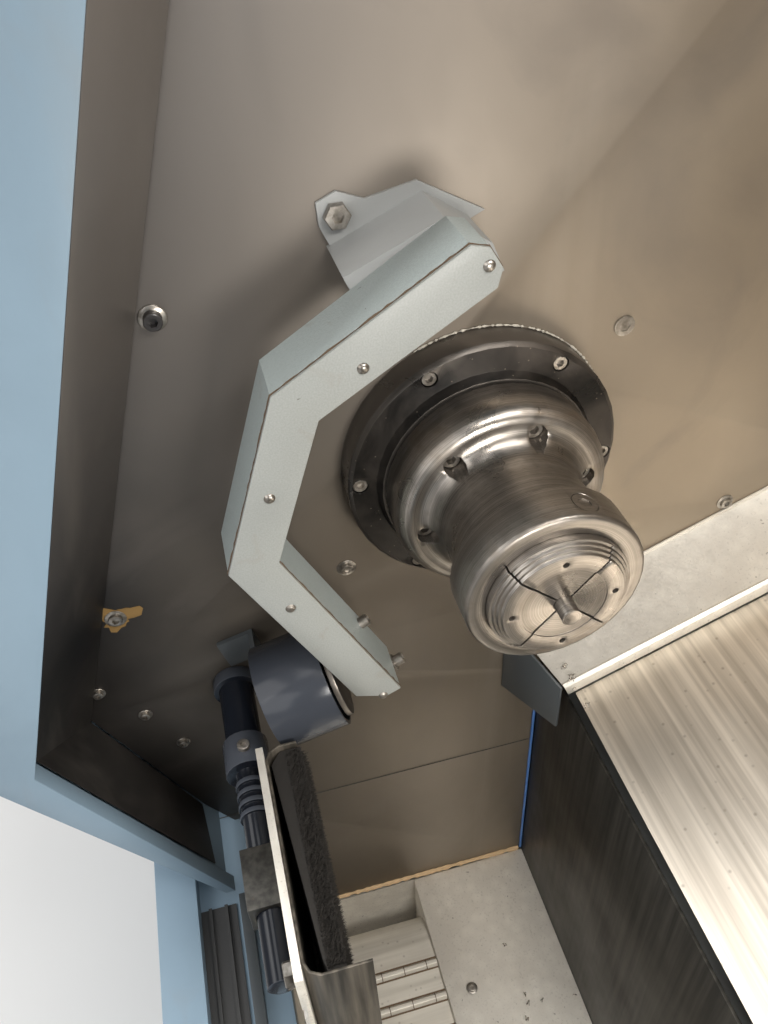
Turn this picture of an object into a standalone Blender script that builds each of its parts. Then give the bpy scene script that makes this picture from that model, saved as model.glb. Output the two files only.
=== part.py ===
"""Compact slant-bed turning lathe with its door open.

Lengths are in metres. Every place is measured from the spindle axis at the face of the headstock
wall: X runs along the spindle away from the wall, Y goes to the back and Z goes up.
"""

import math

import bmesh
import bpy
from mathutils import Matrix, Vector

# Overall machine
GAP = 0.0003
SHEET = 0.003
OVERRUN = 0.01
ROUND_STEPS = 32
SPINDLE_HEIGHT = 1.05
LEFT_LENGTH = 0.62
ROOM_LENGTH = 0.900
RIGHT_CABINET_LENGTH = 0.520
RIGHT_LENGTH = ROOM_LENGTH + RIGHT_CABINET_LENGTH
TOP_Z = 0.68
BACK_Y = 0.68
SKIRT_DROP = 0.99
BED_SLOPE = math.radians(23)

# Front outline of the enclosure, as seen from its end
APEX_Y = -0.435
APEX_Z = -0.109
UPPER_LEAN = 0.348
LOWER_LEAN = 0.568
SILL_Z = -0.400
SILL_FRONT_Y = -0.336
SILL_BACK_Y = -0.298
TRACK_DEPTH = 0.020
TRACK_WIDTH = 0.0720
TRACK_LIP = 0.030
RAIL_HEIGHT = 0.012
RAIL_THICKNESS = 0.010

# Headstock wall and the parts that frame it
WALL_APEX_Y = -0.346
WALL_APEX_Z = -0.209
WALL_UPPER_LEAN = 0.340
WALL_BOTTOM_Z = -0.646
WALL_BOTTOM_Y = -0.170
WALL_SIDE_Y = 0.072
WALL_KNEE_Z = -0.377
WALL_BORE = 0.080
REAR_WALL_Y = 0.4815
JAMB_FACE = 0.085
JAMB_DEPTH = 0.015
JAMB_APEX_Y = -0.373
JAMB_APEX_Z = -0.159
JAMB_SILL_Y = -0.261
MARGIN_START = 0.0025
MARGIN_SHEET = 0.0015
MARGIN_LOW_Z = -0.372

# Bed, in the slope's own directions: u runs up the slope and n stands square to it
BED_N = -0.324
BED_FRONT_U = -0.015
BED_BACK_U = 0.440
BED_FACE_Y = 0.090
BED_STEP = 0.045
CASTING_BACK_Y = 0.600
CASTING_INSET_LEFT = 0.030
CASTING_INSET_RIGHT = 0.120
CASTING_LEFT = LEFT_LENGTH - CASTING_INSET_LEFT
CASTING_RIGHT = RIGHT_LENGTH - CASTING_INSET_RIGHT
PLINTH_FRONT_Y = -0.300
PLINTH_THICKNESS = 0.070
COVER_N = -0.249
COVER_FRONT_U = -0.023
COVER_BACK_U = 0.414
COVER_SHEET = 0.002
COVER_LIP = 0.014
COVER_FIXED_END = 0.380
COVER_MOVING_START = 0.362
COVER_BEYOND_ROOM = 0.300
COVER_RIGHT_END = ROOM_LENGTH + COVER_BEYOND_ROOM
RAIL_WIDTH = 0.035
GUIDE_HEIGHT = 0.030
LOWER_RAIL_U = 0.030
UPPER_RAIL_U = 0.333
GUIDE_START = 0.012
GUIDE_BEYOND_ROOM = 0.190
GUIDE_END = ROOM_LENGTH + GUIDE_BEYOND_ROOM

# Ledge against the wall at the head of the way cover
LEDGE_WALL_N = -0.2105
LEDGE_LIP_N = -0.2360
LEDGE_WIDTH = 0.0720
LEDGE_SHEET = 0.0020
LEDGE_LIP_DROP = 0.012
LEDGE_LIP_WIDTH = 0.004
LEDGE_START_U = -0.030
LEDGE_SKEW = 0.018
LEDGE_PLATE = 0.0025
LEDGE_PLATE_DROP = 0.055
LEDGE_PLATE_REACH = 0.016

# Chip pan and conveyor
PAN_FRONT_Y = -0.2325
PAN_FRONT_Z = -0.440
PAN_FLOOR_Z = -0.780
CHANNEL_BACK_Y = -0.065
PAN_EDGE_Y = 0.0745
SIDE_PANEL_Y = 0.0748
SIDE_PANEL_TOP_Z = -0.2625
SIDE_PANEL_LOW_Z = -0.700
BELT_START = 0.026
BELT_TOP_Z = -0.655
BELT_LOW_Z = -0.768
BELT_THICKNESS = 0.004
BELT_PITCH = 0.036
BELT_BARREL = 0.0045

# Feet
FOOT_RADIUS = 0.045
FOOT_HEIGHT = 0.022
FOOT_STUD = 0.012
FOOT_INSET_X = 0.090
FOOT_INSET_Y = 0.070
FOOT_NUT = 0.020
FOOT_NUT_HEIGHT = 0.014

# Headstock and spindle
HEAD_INSET = 0.170
HEAD_LEFT = LEFT_LENGTH - HEAD_INSET
HEAD_FRONT = 0.060
HEAD_HALF = 0.125
HEAD_TOP_Z = 0.135
HEAD_BACK_U = 0.400
HEAD_BACK_Z = 0.000
HEAD_BORE = 0.085
BEARING_WIDTH = 0.045
SPINDLE_RADIUS = 0.050
SPINDLE_BORE = 0.0315
SPINDLE_NOSE_RADIUS = 0.066
SPINDLE_NOSE_BACK = 0.008
SPINDLE_NOSE_END = 0.0347
SPINDLE_INSET = 0.060
SPINDLE_REAR = LEFT_LENGTH - SPINDLE_INSET
FLANGE_RADIUS = 0.105
FLANGE_FACE = 0.025
FLANGE_SPIGOT = 0.078
FLANGE_CHAMFER = 0.003
LABYRINTH_RADIUS = 0.084
LABYRINTH_FACE = 0.032
LABYRINTH_BORE = 0.0668
FLANGE_SCREW_CIRCLE = 0.096
FLANGE_SCREW_HOLE = 0.0062
FLANGE_SCREW_DEPTH = 0.007
FLANGE_SCREW_TURN = math.radians(-4)
SCREW_COUNT = 6

# Collet nose
NOSE_BACK = 0.035
NOSE_FLANGE_RADIUS = 0.080
NOSE_FLANGE_EDGE = 0.0015
NOSE_FLANGE_EDGE_X = 0.054
NOSE_FLANGE_FACE = 0.069
NOSE_FACE_RADIUS = 0.0685
NECK_RADIUS = 0.0525
NECK_START = 0.087
NECK_END = 0.122
NOSE_RADIUS = 0.061
NOSE_SHOULDER = 0.1275
NOSE_FACE = 0.158
NOSE_ROUND = 0.003
NOSE_MOUTH = 0.0478
NOSE_SEAT_DEPTH = 0.026
NOSE_TAPER_DEPTH = 0.035
NOSE_BORE = 0.0340
NOSE_SCREW_CIRCLE = 0.060
NOSE_SCREW_HOLE = 0.0075
NOSE_SCREW_FLOOR = 0.056
NOSE_SCREW_TURN = math.radians(11)
PLUG_X = 0.1440
PLUG_ANGLE = math.radians(71)
PLUG_RADIUS = 0.0090
PLUG_DEPTH = 0.0020

# Collet, draw tube and bar
COLLET_FACE = 0.1700
COLLET_RING = 0.0407
COLLET_STEP = 0.0022
COLLET_STEP_WIDTH = 0.0022
COLLET_STEPS = 3
COLLET_CORE = 0.029
COLLET_CORE_STEP = 0.0008
COLLET_END = 0.030
COLLET_TAIL = 0.0300
COLLET_SLOT = 0.0014
COLLET_SLOT_END = 0.060
COLLET_TURN = math.radians(48)
COLLET_PIN_CIRCLE = 0.0345
COLLET_PIN_HOLE = 0.0022
COLLET_PIN_DEPTH = 0.006
BAR_RADIUS = 0.00635
BAR_END = 0.1820
BAR_REAR = 0.300
DRAW_BORE = 0.024
DRAW_INSET = 0.035
DRAW_REAR = LEFT_LENGTH - DRAW_INSET
DRAW_HEAD = 0.046
DRAW_HEAD_WIDTH = 0.022

# Drive
PULLEY_WIDTH = 0.045
PULLEY_RADIUS = 0.078
PULLEY_INSET = 0.075
PULLEY_LEFT = LEFT_LENGTH - PULLEY_INSET
MOTOR_PULLEY_RADIUS = 0.052
PULLEY_RIM = 0.005
PULLEY_RIM_WIDTH = 0.004
BELT_WALL = 0.005
BELT_CLEARANCE = 0.001
MOTOR_Y = -0.060
MOTOR_Z = -0.560
MOTOR_RADIUS = 0.085
MOTOR_LENGTH = 0.290
MOTOR_INSET = 0.460
MOTOR_FRONT = LEFT_LENGTH - MOTOR_INSET
MOTOR_SHAFT = 0.019
MOTOR_FINS = 24
MOTOR_FIN_DEPTH = 0.007
MOTOR_FOOT_HALF = 0.060
FEED_MOTOR_SIDE = 0.058
FEED_MOTOR_GAP = 0.010
FEED_MOTOR_START = GUIDE_END + FEED_MOTOR_GAP
FEED_MOTOR_LENGTH = 0.150
SCREW_U = 0.190
SCREW_N = -0.291
SCREW_RADIUS = 0.012
SCREW_START = 0.070

# Tool presetter arm
ARM_FACE = 0.100
ARM_BACK = 0.057
ARM_WIDTH = 0.0305
ARM_WALL = 0.003
ARM_COVER = 0.0025
ARM_PIVOT_Y = -0.037
ARM_PIVOT_Z = 0.1835
ARM_TOP_Y = -0.0395
ARM_TOP_Z = 0.1935
ARM_TOP_REACH = 0.016
ARM_TOP_CHAMFER = 0.008
ARM_UPPER_LEG = 0.120
ARM_MIDDLE_LEG = 0.1198
ARM_LOWER_LEG = 0.1785
ARM_UPPER_TURN = math.radians(211.0)
ARM_MIDDLE_TURN = math.radians(250.4)
ARM_LOWER_TURN = math.radians(295.6)
ARM_TIP_CHAMFER = 0.018
ARM_SHAFT = 0.0115
ARM_HUB = 0.0135
BRACKET_DEPTH = 0.048
BRACKET_TOP = 0.0665
BRACKET_LENGTH = 0.086
BRACKET_SLANT = 0.030
BRACKET_HEIGHT = 0.050
BRACKET_WALL = 0.0025
BRACKET_CORNER_Y = -0.0995
BRACKET_CORNER_Z = 0.1797
BRACKET_TURN = math.radians(23.4)
BRACKET_HOLE = 0.0150
TAB_REACH = 0.027
TAB_SHOULDER = 0.014
TAB_LEFT = 0.002
TAB_TIP = 0.007
TAB_END = 0.034
TAB_RIGHT = 0.097

# Probe and its cup
CUP_X = 0.065
CUP_Y = -0.1910
CUP_Z = -0.1546
CUP_TURN = math.radians(14.3)
CUP_RADIUS = 0.0425
CUP_LENGTH = 0.0525
CUP_WALL = 0.003
CUP_PLATE = 0.004
CUP_PLATE_HALF = 0.015
CUP_FOOT = 0.032
PROBE_CAP = 0.036
PROBE_CAP_THICKNESS = 0.004
PROBE_BODY = 0.0045
PROBE_REACH = 0.016
PROBE_STEM = 0.0035
PROBE_STEM_LENGTH = 0.022
PROBE_TIP = 0.0075

# Parts catcher
CATCHER_Y = -0.219
CATCHER_Z = -0.201
CATCHER_COLLAR = 0.0195
CATCHER_COLLAR_WIDTH = 0.012
CATCHER_TUBE = 0.0150
CATCHER_TUBE_END = 0.068
CATCHER_SHAFT = 0.0105
CATCHER_SHAFT_BACK = 0.036
CATCHER_SHAFT_END = 0.262
CLAMP_RADIUS = 0.0185
CLAMP_END = 0.098
RING_RADIUS = 0.0125
RING_WIDTH = 0.004
RING_STEP = 0.009
RING_COUNT = 4
BLOCK_START = 0.168
BLOCK_LENGTH = 0.046
BLOCK_HALF = 0.0150
CATCHER_PLATE_Y = -0.2035
CATCHER_PLATE_TOP = -0.150
CATCHER_PLATE_THICKNESS = 0.0055
CATCHER_PLATE_DROP = 0.112
CATCHER_START = 0.112
CATCHER_END = 0.282
CHUTE_SHEET = 0.002
CHUTE_FRONT_Y = -0.160
CHUTE_FAR_Y = -0.178
CHUTE_LOW_Z = -0.450
CHUTE_CORNER = 0.010
LINING_FAR_Y = -0.1995
LINING_NEAR_Y = -0.1900
LINING_FRONT_Y = -0.176
LINING_TOP_Z = -0.157

# Door
DOOR_THICKNESS = 0.030
DOOR_WIDTH = 0.700
DOOR_CLOSED = 0.0875
DOOR_OVERLAP = 0.280
DOOR_OPEN_TRAVEL = ROOM_LENGTH - DOOR_OVERLAP
DOOR_CLEARANCE = 0.003
WINDOW_MARGIN_X = 0.110
WINDOW_LOW_Z = -0.010
WINDOW_HIGH_Z = 0.520
WINDOW_THICKNESS = 0.012
HANDLE_RADIUS = 0.012
HANDLE_STAND = 0.045
HANDLE_INSET = 0.050
HANDLE_LOW_Z = 0.030
HANDLE_HIGH_Z = 0.290
FIXED_FRONT_START = 0.760

# Carriage, cross slide and turret
CARRIAGE_PARK = 0.020
CARRIAGE_LENGTH = 0.260
CARRIAGE_START = ROOM_LENGTH - CARRIAGE_PARK - CARRIAGE_LENGTH
CARRIAGE_FRONT_U = -0.005
CARRIAGE_BACK_U = 0.380
CARRIAGE_LOW_N = -0.318
CARRIAGE_TOP_N = -0.222
SLIDE_MARGIN = 0.020
SLIDE_LENGTH = 0.190
SLIDE_BASE = 0.045
TURRET_U = 0.325
TURRET_HOUSING = 0.092
TURRET_NECK = 0.060
TURRET_NECK_LENGTH = 0.095
TURRET_DISC = 0.105
TURRET_WIDTH = 0.075
TURRET_HUB = 0.045
TURRET_HUB_DEPTH = 0.006
TURRET_STATIONS = 8
TOOL_REACH = 0.038
TOOL_WIDTH = 0.022
TOOL_SEAT = 0.012

# Control panel
PANEL_X = 1.240
PANEL_POST_Y = -0.500
PANEL_POST = 0.021
PANEL_ARM_BACK_Y = 0.020
PANEL_ARM_THICKNESS = 0.030
PANEL_ARM_HALF = 0.035
PANEL_POST_DROP = 0.260
PANEL_WIDTH = 0.330
PANEL_HEIGHT = 0.420
PANEL_DEPTH = 0.085
PANEL_BEVEL = 0.012
SCREEN_MARGIN = 0.030
SCREEN_HEIGHT = 0.200
SCREEN_SEAT = 0.004
WHEEL_RADIUS = 0.030
WHEEL_DEPTH = 0.014
WHEEL_KNOB = 0.005
STOP_RADIUS = 0.018
STOP_DEPTH = 0.016
STOP_STEM = 0.010
BUTTON_TRAVEL = 0.004

X_AXIS = Vector((1, 0, 0))
Y_AXIS = Vector((0, 1, 0))
Z_AXIS = Vector((0, 0, 1))
UP_SLOPE = Vector((0, math.cos(BED_SLOPE), math.sin(BED_SLOPE)))
OFF_SLOPE = Vector((0, -math.sin(BED_SLOPE), math.cos(BED_SLOPE)))
SIDEWAYS = (Y_AXIS, Z_AXIS)
LENGTHWAYS = (Z_AXIS, X_AXIS)
LEVEL = (X_AXIS, Y_AXIS)
SLOPING = (UP_SLOPE, OFF_SLOPE)


def clear_scene():
    for obj in list(bpy.data.objects):
        bpy.data.objects.remove(obj, do_unlink=True)


clear_scene()
PARTS = bpy.data.collections.new("turning_lathe")
CUTTERS = bpy.data.collections.new("cutters")
bpy.context.scene.collection.children.link(PARTS)
bpy.context.scene.collection.children.link(CUTTERS)
CUTTERS.hide_render = True


def frame_empty():
    """The spindle axis at the wall; the floor under the middle of the machine is the origin."""
    empty = bpy.data.objects.new("spindle_axis", None)
    button = BUTTON_TRAVEL + GAP * 2 + STOP_DEPTH
    front = PANEL_POST_Y - PANEL_POST - PANEL_DEPTH / 2 - button
    empty.location = ((LEFT_LENGTH - RIGHT_LENGTH) / 2, -(front + BACK_Y) / 2, SPINDLE_HEIGHT)
    PARTS.objects.link(empty)
    return empty


FRAME = frame_empty()


def material(name, colour, roughness, metallic):
    made = bpy.data.materials.new(name)
    made.use_nodes = True
    shader = made.node_tree.nodes["Principled BSDF"]
    shader.inputs["Base Color"].default_value = (*colour, 1)
    shader.inputs["Roughness"].default_value = roughness
    shader.inputs["Metallic"].default_value = metallic
    return made


SATIN_STEEL = material("satin_steel", (0.33, 0.29, 0.25), 0.38, 1.0)
BRUSHED_STEEL = material("brushed_steel", (0.55, 0.50, 0.44), 0.30, 1.0)
TURNED_STEEL = material("turned_steel", (0.56, 0.52, 0.47), 0.22, 1.0)
BLACK_STEEL = material("blackened_steel", (0.055, 0.052, 0.050), 0.40, 0.8)
BRIGHT_STEEL = material("galvanised_steel", (0.72, 0.68, 0.60), 0.42, 0.9)
GREY_PAINT = material("grey_paint", (0.42, 0.50, 0.55), 0.45, 0.0)
DARK_PAINT = material("dark_paint", (0.10, 0.11, 0.12), 0.50, 0.0)
CREAM_COAT = material("textured_coat", (0.62, 0.62, 0.57), 0.60, 0.0)
CASTING_PAINT = material("casting_paint", (0.45, 0.47, 0.46), 0.60, 0.0)
CAST_IRON = material("cast_iron", (0.20, 0.20, 0.20), 0.60, 0.6)
GLOSS_BLACK = material("gloss_black", (0.02, 0.025, 0.035), 0.15, 0.3)
BRISTLE = material("bristle", (0.03, 0.025, 0.02), 0.95, 0.0)
BELT_RUBBER = material("belt_rubber", (0.03, 0.03, 0.03), 0.80, 0.0)
DARK_GLASS = material("window_glass", (0.30, 0.34, 0.36), 0.08, 0.0)
RED_PLASTIC = material("red_plastic", (0.60, 0.03, 0.02), 0.35, 0.0)


def slope_point(u, n):
    """A point of the slope's own directions as (Y, Z)."""
    return (
        u * math.cos(BED_SLOPE) - n * math.sin(BED_SLOPE),
        u * math.sin(BED_SLOPE) + n * math.cos(BED_SLOPE),
    )


def slope_height(y, n):
    """The height at Y of the plane that lies n off the slope through the spindle axis."""
    return (n + y * math.sin(BED_SLOPE)) / math.cos(BED_SLOPE)


def upper_front(z, inset=0.0):
    return APEX_Y + UPPER_LEAN * (z - APEX_Z) + inset * math.hypot(1, UPPER_LEAN)


def lower_front(z, inset=0.0):
    return APEX_Y + LOWER_LEAN * (APEX_Z - z) + inset * math.hypot(1, LOWER_LEAN)


def front_outline(inset, low_z, high_z):
    """The enclosure's front line from its foot to its top, set in by a wall or a door."""
    shift = math.hypot(1, LOWER_LEAN) - math.hypot(1, UPPER_LEAN)
    apex_z = APEX_Z + inset * shift / (UPPER_LEAN + LOWER_LEAN)
    return [
        (lower_front(low_z, inset), low_z),
        (upper_front(apex_z, inset), apex_z),
        (upper_front(high_z, inset), high_z),
    ]


def link(obj, paint, pivot=(0, 0, 0)):
    """Puts the object's origin at the pivot and hangs it on the machine's frame."""
    pivot = Vector(pivot)
    obj.data.transform(Matrix.Translation(-pivot))
    obj.location = pivot
    obj.parent = FRAME
    obj.data.materials.clear()
    obj.data.materials.append(paint)
    PARTS.objects.link(obj)
    return obj


def smooth(obj, angle=math.radians(35)):
    obj.data.shade_smooth()
    obj.data.set_sharp_from_angle(angle=angle)
    return obj


def mesh_from(name, work):
    bmesh.ops.recalc_face_normals(work, faces=work.faces)
    mesh = bpy.data.meshes.new(name)
    work.to_mesh(mesh)
    work.free()
    return bpy.data.objects.new(name, mesh)


def block(name, low, high):
    work = bmesh.new()
    bmesh.ops.create_cube(work, size=1)
    size = [b - a for a, b in zip(low, high)]
    middle = [(a + b) / 2 for a, b in zip(low, high)]
    bmesh.ops.transform(work, matrix=Matrix.Translation(middle) @ Matrix.Diagonal((*size, 1)), verts=work.verts)
    return mesh_from(name, work)


def extruded(name, outlines, plane, low, high):
    """Flat outlines, holes among them, drawn in a plane and extruded along its normal."""
    across, along = plane
    normal = across.cross(along)
    curve = bpy.data.curves.new(name + "_outline", "CURVE")
    curve.dimensions = "2D"
    curve.fill_mode = "BOTH"
    curve.extrude = (high - low) / 2
    for outline in outlines:
        spline = curve.splines.new("POLY")
        spline.points.add(len(outline) - 1)
        for point, place in zip(spline.points, outline):
            point.co = (*place, 0, 1)
        spline.use_cyclic_u = True
    drawn = bpy.data.objects.new(name + "_outline", curve)
    bpy.context.scene.collection.objects.link(drawn)
    graph = bpy.context.evaluated_depsgraph_get()
    mesh = bpy.data.meshes.new_from_object(drawn.evaluated_get(graph))
    bpy.data.objects.remove(drawn)
    mesh.name = name
    turn = Matrix((across, along, normal)).transposed().to_4x4()
    mesh.transform(Matrix.Translation(normal * (low + high) / 2) @ turn)
    work = bmesh.new()
    work.from_mesh(mesh)
    bmesh.ops.remove_doubles(work, verts=work.verts, dist=GAP / 30)
    bmesh.ops.recalc_face_normals(work, faces=work.faces)
    work.to_mesh(mesh)
    work.free()
    return bpy.data.objects.new(name, mesh)


def folded(name, path, plane, low, high, thickness, ends=()):
    """An open folded sheet: a path extruded along the plane's normal, with flat ends if named."""
    across, along = plane
    normal = across.cross(along)
    work = bmesh.new()

    def corner(place, depth):
        return work.verts.new(across * place[0] + along * place[1] + normal * depth)

    first = [corner(place, low) for place in path]
    last = [corner(place, high) for place in path]
    for i in range(len(path) - 1):
        work.faces.new((first[i], first[i + 1], last[i + 1], last[i]))
    for end, row, depth, more in ends:
        extra = [corner(place, depth) for place in more]
        chosen = first if row == "first" else last
        work.faces.new(list(chosen if end == "all" else chosen[end]) + extra)
    bmesh.ops.recalc_face_normals(work, faces=work.faces)
    mesh = bpy.data.meshes.new(name)
    work.to_mesh(mesh)
    work.free()
    obj = bpy.data.objects.new(name, mesh)
    shell = obj.modifiers.new("thickness", "SOLIDIFY")
    shell.solidify_mode = "NON_MANIFOLD"
    shell.nonmanifold_thickness_mode = "CONSTRAINTS"
    shell.thickness = thickness
    shell.offset = 0
    return obj


def turned(name, profile, centre=(0, 0), steps=ROUND_STEPS, ring=False, turn=None):
    """A profile of (X, radius) from front to back, turned about a line along X, or about `turn`."""
    mesh = bpy.data.meshes.new(name)
    points = [(radius, 0, x) for x, radius in profile]
    edges = [(i, i + 1) for i in range(len(points) - 1)]
    if ring:
        edges.append((len(points) - 1, 0))
    mesh.from_pydata(points, edges, [])
    obj = bpy.data.objects.new(name, mesh)
    screw = obj.modifiers.new("turn", "SCREW")
    screw.steps = steps
    screw.render_steps = steps
    screw.use_merge_vertices = True
    screw.merge_threshold = 0.00001
    screw.use_smooth_shade = True
    holder = bpy.context.scene.collection
    holder.objects.link(obj)
    graph = bpy.context.evaluated_depsgraph_get()
    solid = bpy.data.meshes.new_from_object(obj.evaluated_get(graph))
    bpy.data.objects.remove(obj)
    solid.name = name
    if turn is None:
        turn = Matrix.Translation((0, *centre)) @ Matrix.Rotation(math.pi / 2, 4, "Y")
    solid.transform(turn)
    made = bpy.data.objects.new(name, solid)
    return smooth(made, math.radians(30))


def cylinder(name, low, high, radius, centre=(0, 0), steps=ROUND_STEPS):
    return turned(name, [(high, 0), (high, radius), (low, radius), (low, 0)], centre, steps)


def tube(name, low, high, inner, outer, centre=(0, 0), steps=ROUND_STEPS):
    profile = [(high, inner), (high, outer), (low, outer), (low, inner)]
    return turned(name, profile, centre, steps, ring=True)


def cutter(obj):
    obj.hide_render = True
    obj.display_type = "WIRE"
    obj.parent = FRAME
    CUTTERS.objects.link(obj)
    return obj


def combine(obj, other, operation):
    change = obj.modifiers.new(other.name, "BOOLEAN")
    change.operation = operation
    change.solver = "EXACT"
    change.object = cutter(other)
    return obj


def cut(obj, other):
    return combine(obj, other, "DIFFERENCE")


def joined(obj, other):
    return combine(obj, other, "UNION")


def circle(centre, radius, count=ROUND_STEPS):
    return [
        (
            centre[0] + radius * math.cos(math.tau * i / count),
            centre[1] + radius * math.sin(math.tau * i / count),
        )
        for i in range(count)
    ]


def along(angle, length):
    return Vector((math.cos(angle) * length, math.sin(angle) * length))


def band(centres, width, inset=0.0):
    """The outline of a strip of even width about a line of points."""
    half = width / 2 - inset
    sides = ([], [])
    for i, centre in enumerate(centres):
        before = (centre - centres[i - 1]).normalized() if i else None
        after = (centres[i + 1] - centre).normalized() if i < len(centres) - 1 else None
        way = (before or after) + (after or before)
        way.normalize()
        square = Vector((-way.y, way.x))
        stretch = half / way.dot(before or after)
        end = Vector((0, 0))
        if not i:
            end = way * inset
        if i == len(centres) - 1:
            end = -way * inset
        sides[0].append(centre + end + square * stretch)
        sides[1].append(centre + end - square * stretch)
    return sides[0] + sides[1][::-1]


def chamfered(outline, corner, size):
    """The outline with one corner cut off."""
    here = outline[corner]
    before = outline[corner - 1]
    after = outline[(corner + 1) % len(outline)]
    first = here + (before - here).normalized() * size
    second = here + (after - here).normalized() * size
    return outline[:corner] + [first, second] + outline[corner + 1:]


def pairs(points):
    return [tuple(point) for point in points]


# Structure


def base_casting():
    front_low = slope_point(BED_FRONT_U, BED_N)
    back_high = slope_point(BED_BACK_U, BED_N)
    low = -SKIRT_DROP
    outline = [
        (PLINTH_FRONT_Y, low),
        (CASTING_BACK_Y, low),
        (CASTING_BACK_Y, back_high[1] - BED_STEP),
        back_high,
        front_low,
        (BED_FACE_Y, front_low[1] - BED_STEP),
        (BED_FACE_Y, low + PLINTH_THICKNESS),
        (PLINTH_FRONT_Y, low + PLINTH_THICKNESS),
    ]
    body = extruded("base_casting", [outline], SIDEWAYS, -CASTING_LEFT, CASTING_RIGHT)
    for foot in feet():
        joined(body, foot)
    return link(body, CASTING_PAINT)


def feet():
    """Four levelling feet, each a stud with its nut and pad, screwed into the casting."""
    places = {
        "foot_front_left": (-CASTING_LEFT + FOOT_INSET_X, PLINTH_FRONT_Y + FOOT_INSET_Y),
        "foot_front_right": (CASTING_RIGHT - FOOT_INSET_X, PLINTH_FRONT_Y + FOOT_INSET_Y),
        "foot_rear_left": (-CASTING_LEFT + FOOT_INSET_X, CASTING_BACK_Y - FOOT_INSET_Y),
        "foot_rear_right": (CASTING_RIGHT - FOOT_INSET_X, CASTING_BACK_Y - FOOT_INSET_Y),
    }
    top = -SKIRT_DROP
    floor = -SPINDLE_HEIGHT
    profile = [
        (top + OVERRUN, 0),
        (top + OVERRUN, FOOT_NUT),
        (top - FOOT_NUT_HEIGHT, FOOT_NUT),
        (top - FOOT_NUT_HEIGHT, FOOT_STUD),
        (floor + FOOT_HEIGHT, FOOT_STUD),
        (floor + FOOT_HEIGHT / 2, FOOT_RADIUS),
        (floor, FOOT_RADIUS),
        (floor, 0),
    ]
    for name, (x, y) in places.items():
        yield turned(name, profile, steps=16, turn=Matrix.Translation((x, y, 0)))


def headstock_wall():
    top = TOP_Z - SHEET - GAP
    bed = BED_N + GAP
    corner_y = slope_point(BED_FRONT_U, BED_N)[0]
    notch_top = SILL_Z - TRACK_DEPTH + SHEET / 2 + GAP
    notch_low = SILL_Z - TRACK_DEPTH - TRACK_LIP - GAP
    outline = [
        (WALL_APEX_Y + WALL_UPPER_LEAN * (top - WALL_APEX_Z), top),
        (REAR_WALL_Y - GAP, top),
        (REAR_WALL_Y - GAP, slope_height(REAR_WALL_Y, bed)),
        (corner_y, slope_height(corner_y, bed)),
        (WALL_SIDE_Y, slope_height(corner_y, bed)),
        (WALL_SIDE_Y, WALL_BOTTOM_Z),
        (WALL_BOTTOM_Y, WALL_BOTTOM_Z),
        (wall_low_front(notch_low), notch_low),
        (SILL_BACK_Y + TRACK_WIDTH + GAP, notch_low),
        (SILL_BACK_Y + TRACK_WIDTH + GAP, notch_top),
        (lower_front(notch_top, SHEET + GAP * 2), notch_top),
        (wall_low_front(WALL_KNEE_Z), WALL_KNEE_Z),
        (WALL_APEX_Y, WALL_APEX_Z),
    ]
    holes = [
        circle((0, 0), WALL_BORE),
        circle((CATCHER_Y, CATCHER_Z), CATCHER_SHAFT + GAP * 2, 20),
    ]
    return link(extruded("headstock_wall", [outline, *holes], SIDEWAYS, -SHEET, 0), SATIN_STEEL)


def wall_low_front(z):
    """The wall's lower front edge at a height."""
    share = (z - WALL_APEX_Z) / (WALL_BOTTOM_Z - WALL_APEX_Z)
    return WALL_APEX_Y + share * (WALL_BOTTOM_Y - WALL_APEX_Y)


def jamb_low_front(z):
    share = (z - JAMB_APEX_Z) / (SILL_Z - JAMB_APEX_Z)
    return JAMB_APEX_Y + share * (JAMB_SILL_Y - JAMB_APEX_Y)


def jamb_outline():
    top = TOP_Z - SHEET - GAP
    outer = front_outline(0, SILL_Z + GAP, top)
    inner = [
        (JAMB_APEX_Y + UPPER_LEAN * (top - JAMB_APEX_Z), top),
        (JAMB_APEX_Y, JAMB_APEX_Z),
        (jamb_low_front(SILL_Z + GAP), SILL_Z + GAP),
    ]
    return outer, inner


def jamb_frame():
    outer, inner = jamb_outline()
    body = extruded("jamb_frame", [outer + inner], SIDEWAYS, JAMB_FACE - JAMB_DEPTH, JAMB_FACE)
    return link(body, GREY_PAINT)


def wall_margin():
    """The folded strip that widens from the wall's front edge to the jamb."""
    top = TOP_Z - SHEET - GAP - MARGIN_SHEET
    inner = [
        (WALL_APEX_Y + WALL_UPPER_LEAN * (top - WALL_APEX_Z), top),
        (WALL_APEX_Y, WALL_APEX_Z),
        (wall_low_front(MARGIN_LOW_Z), MARGIN_LOW_Z),
    ]
    outer = [
        (JAMB_APEX_Y + UPPER_LEAN * (top - JAMB_APEX_Z), top),
        (JAMB_APEX_Y, JAMB_APEX_Z),
        (jamb_low_front(MARGIN_LOW_Z), MARGIN_LOW_Z),
    ]
    end = JAMB_FACE - JAMB_DEPTH - GAP - MARGIN_SHEET
    work = bmesh.new()
    near = [work.verts.new((MARGIN_START, y, z)) for y, z in inner]
    far = [work.verts.new((end, y, z)) for y, z in outer]
    for i in range(len(inner) - 1):
        work.faces.new((near[i], near[i + 1], far[i + 1], far[i]))
    mesh = bpy.data.meshes.new("wall_margin")
    work.to_mesh(mesh)
    work.free()
    obj = bpy.data.objects.new("wall_margin", mesh)
    shell = obj.modifiers.new("thickness", "SOLIDIFY")
    shell.thickness = MARGIN_SHEET
    shell.offset = 0
    return link(obj, SATIN_STEEL)


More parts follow.
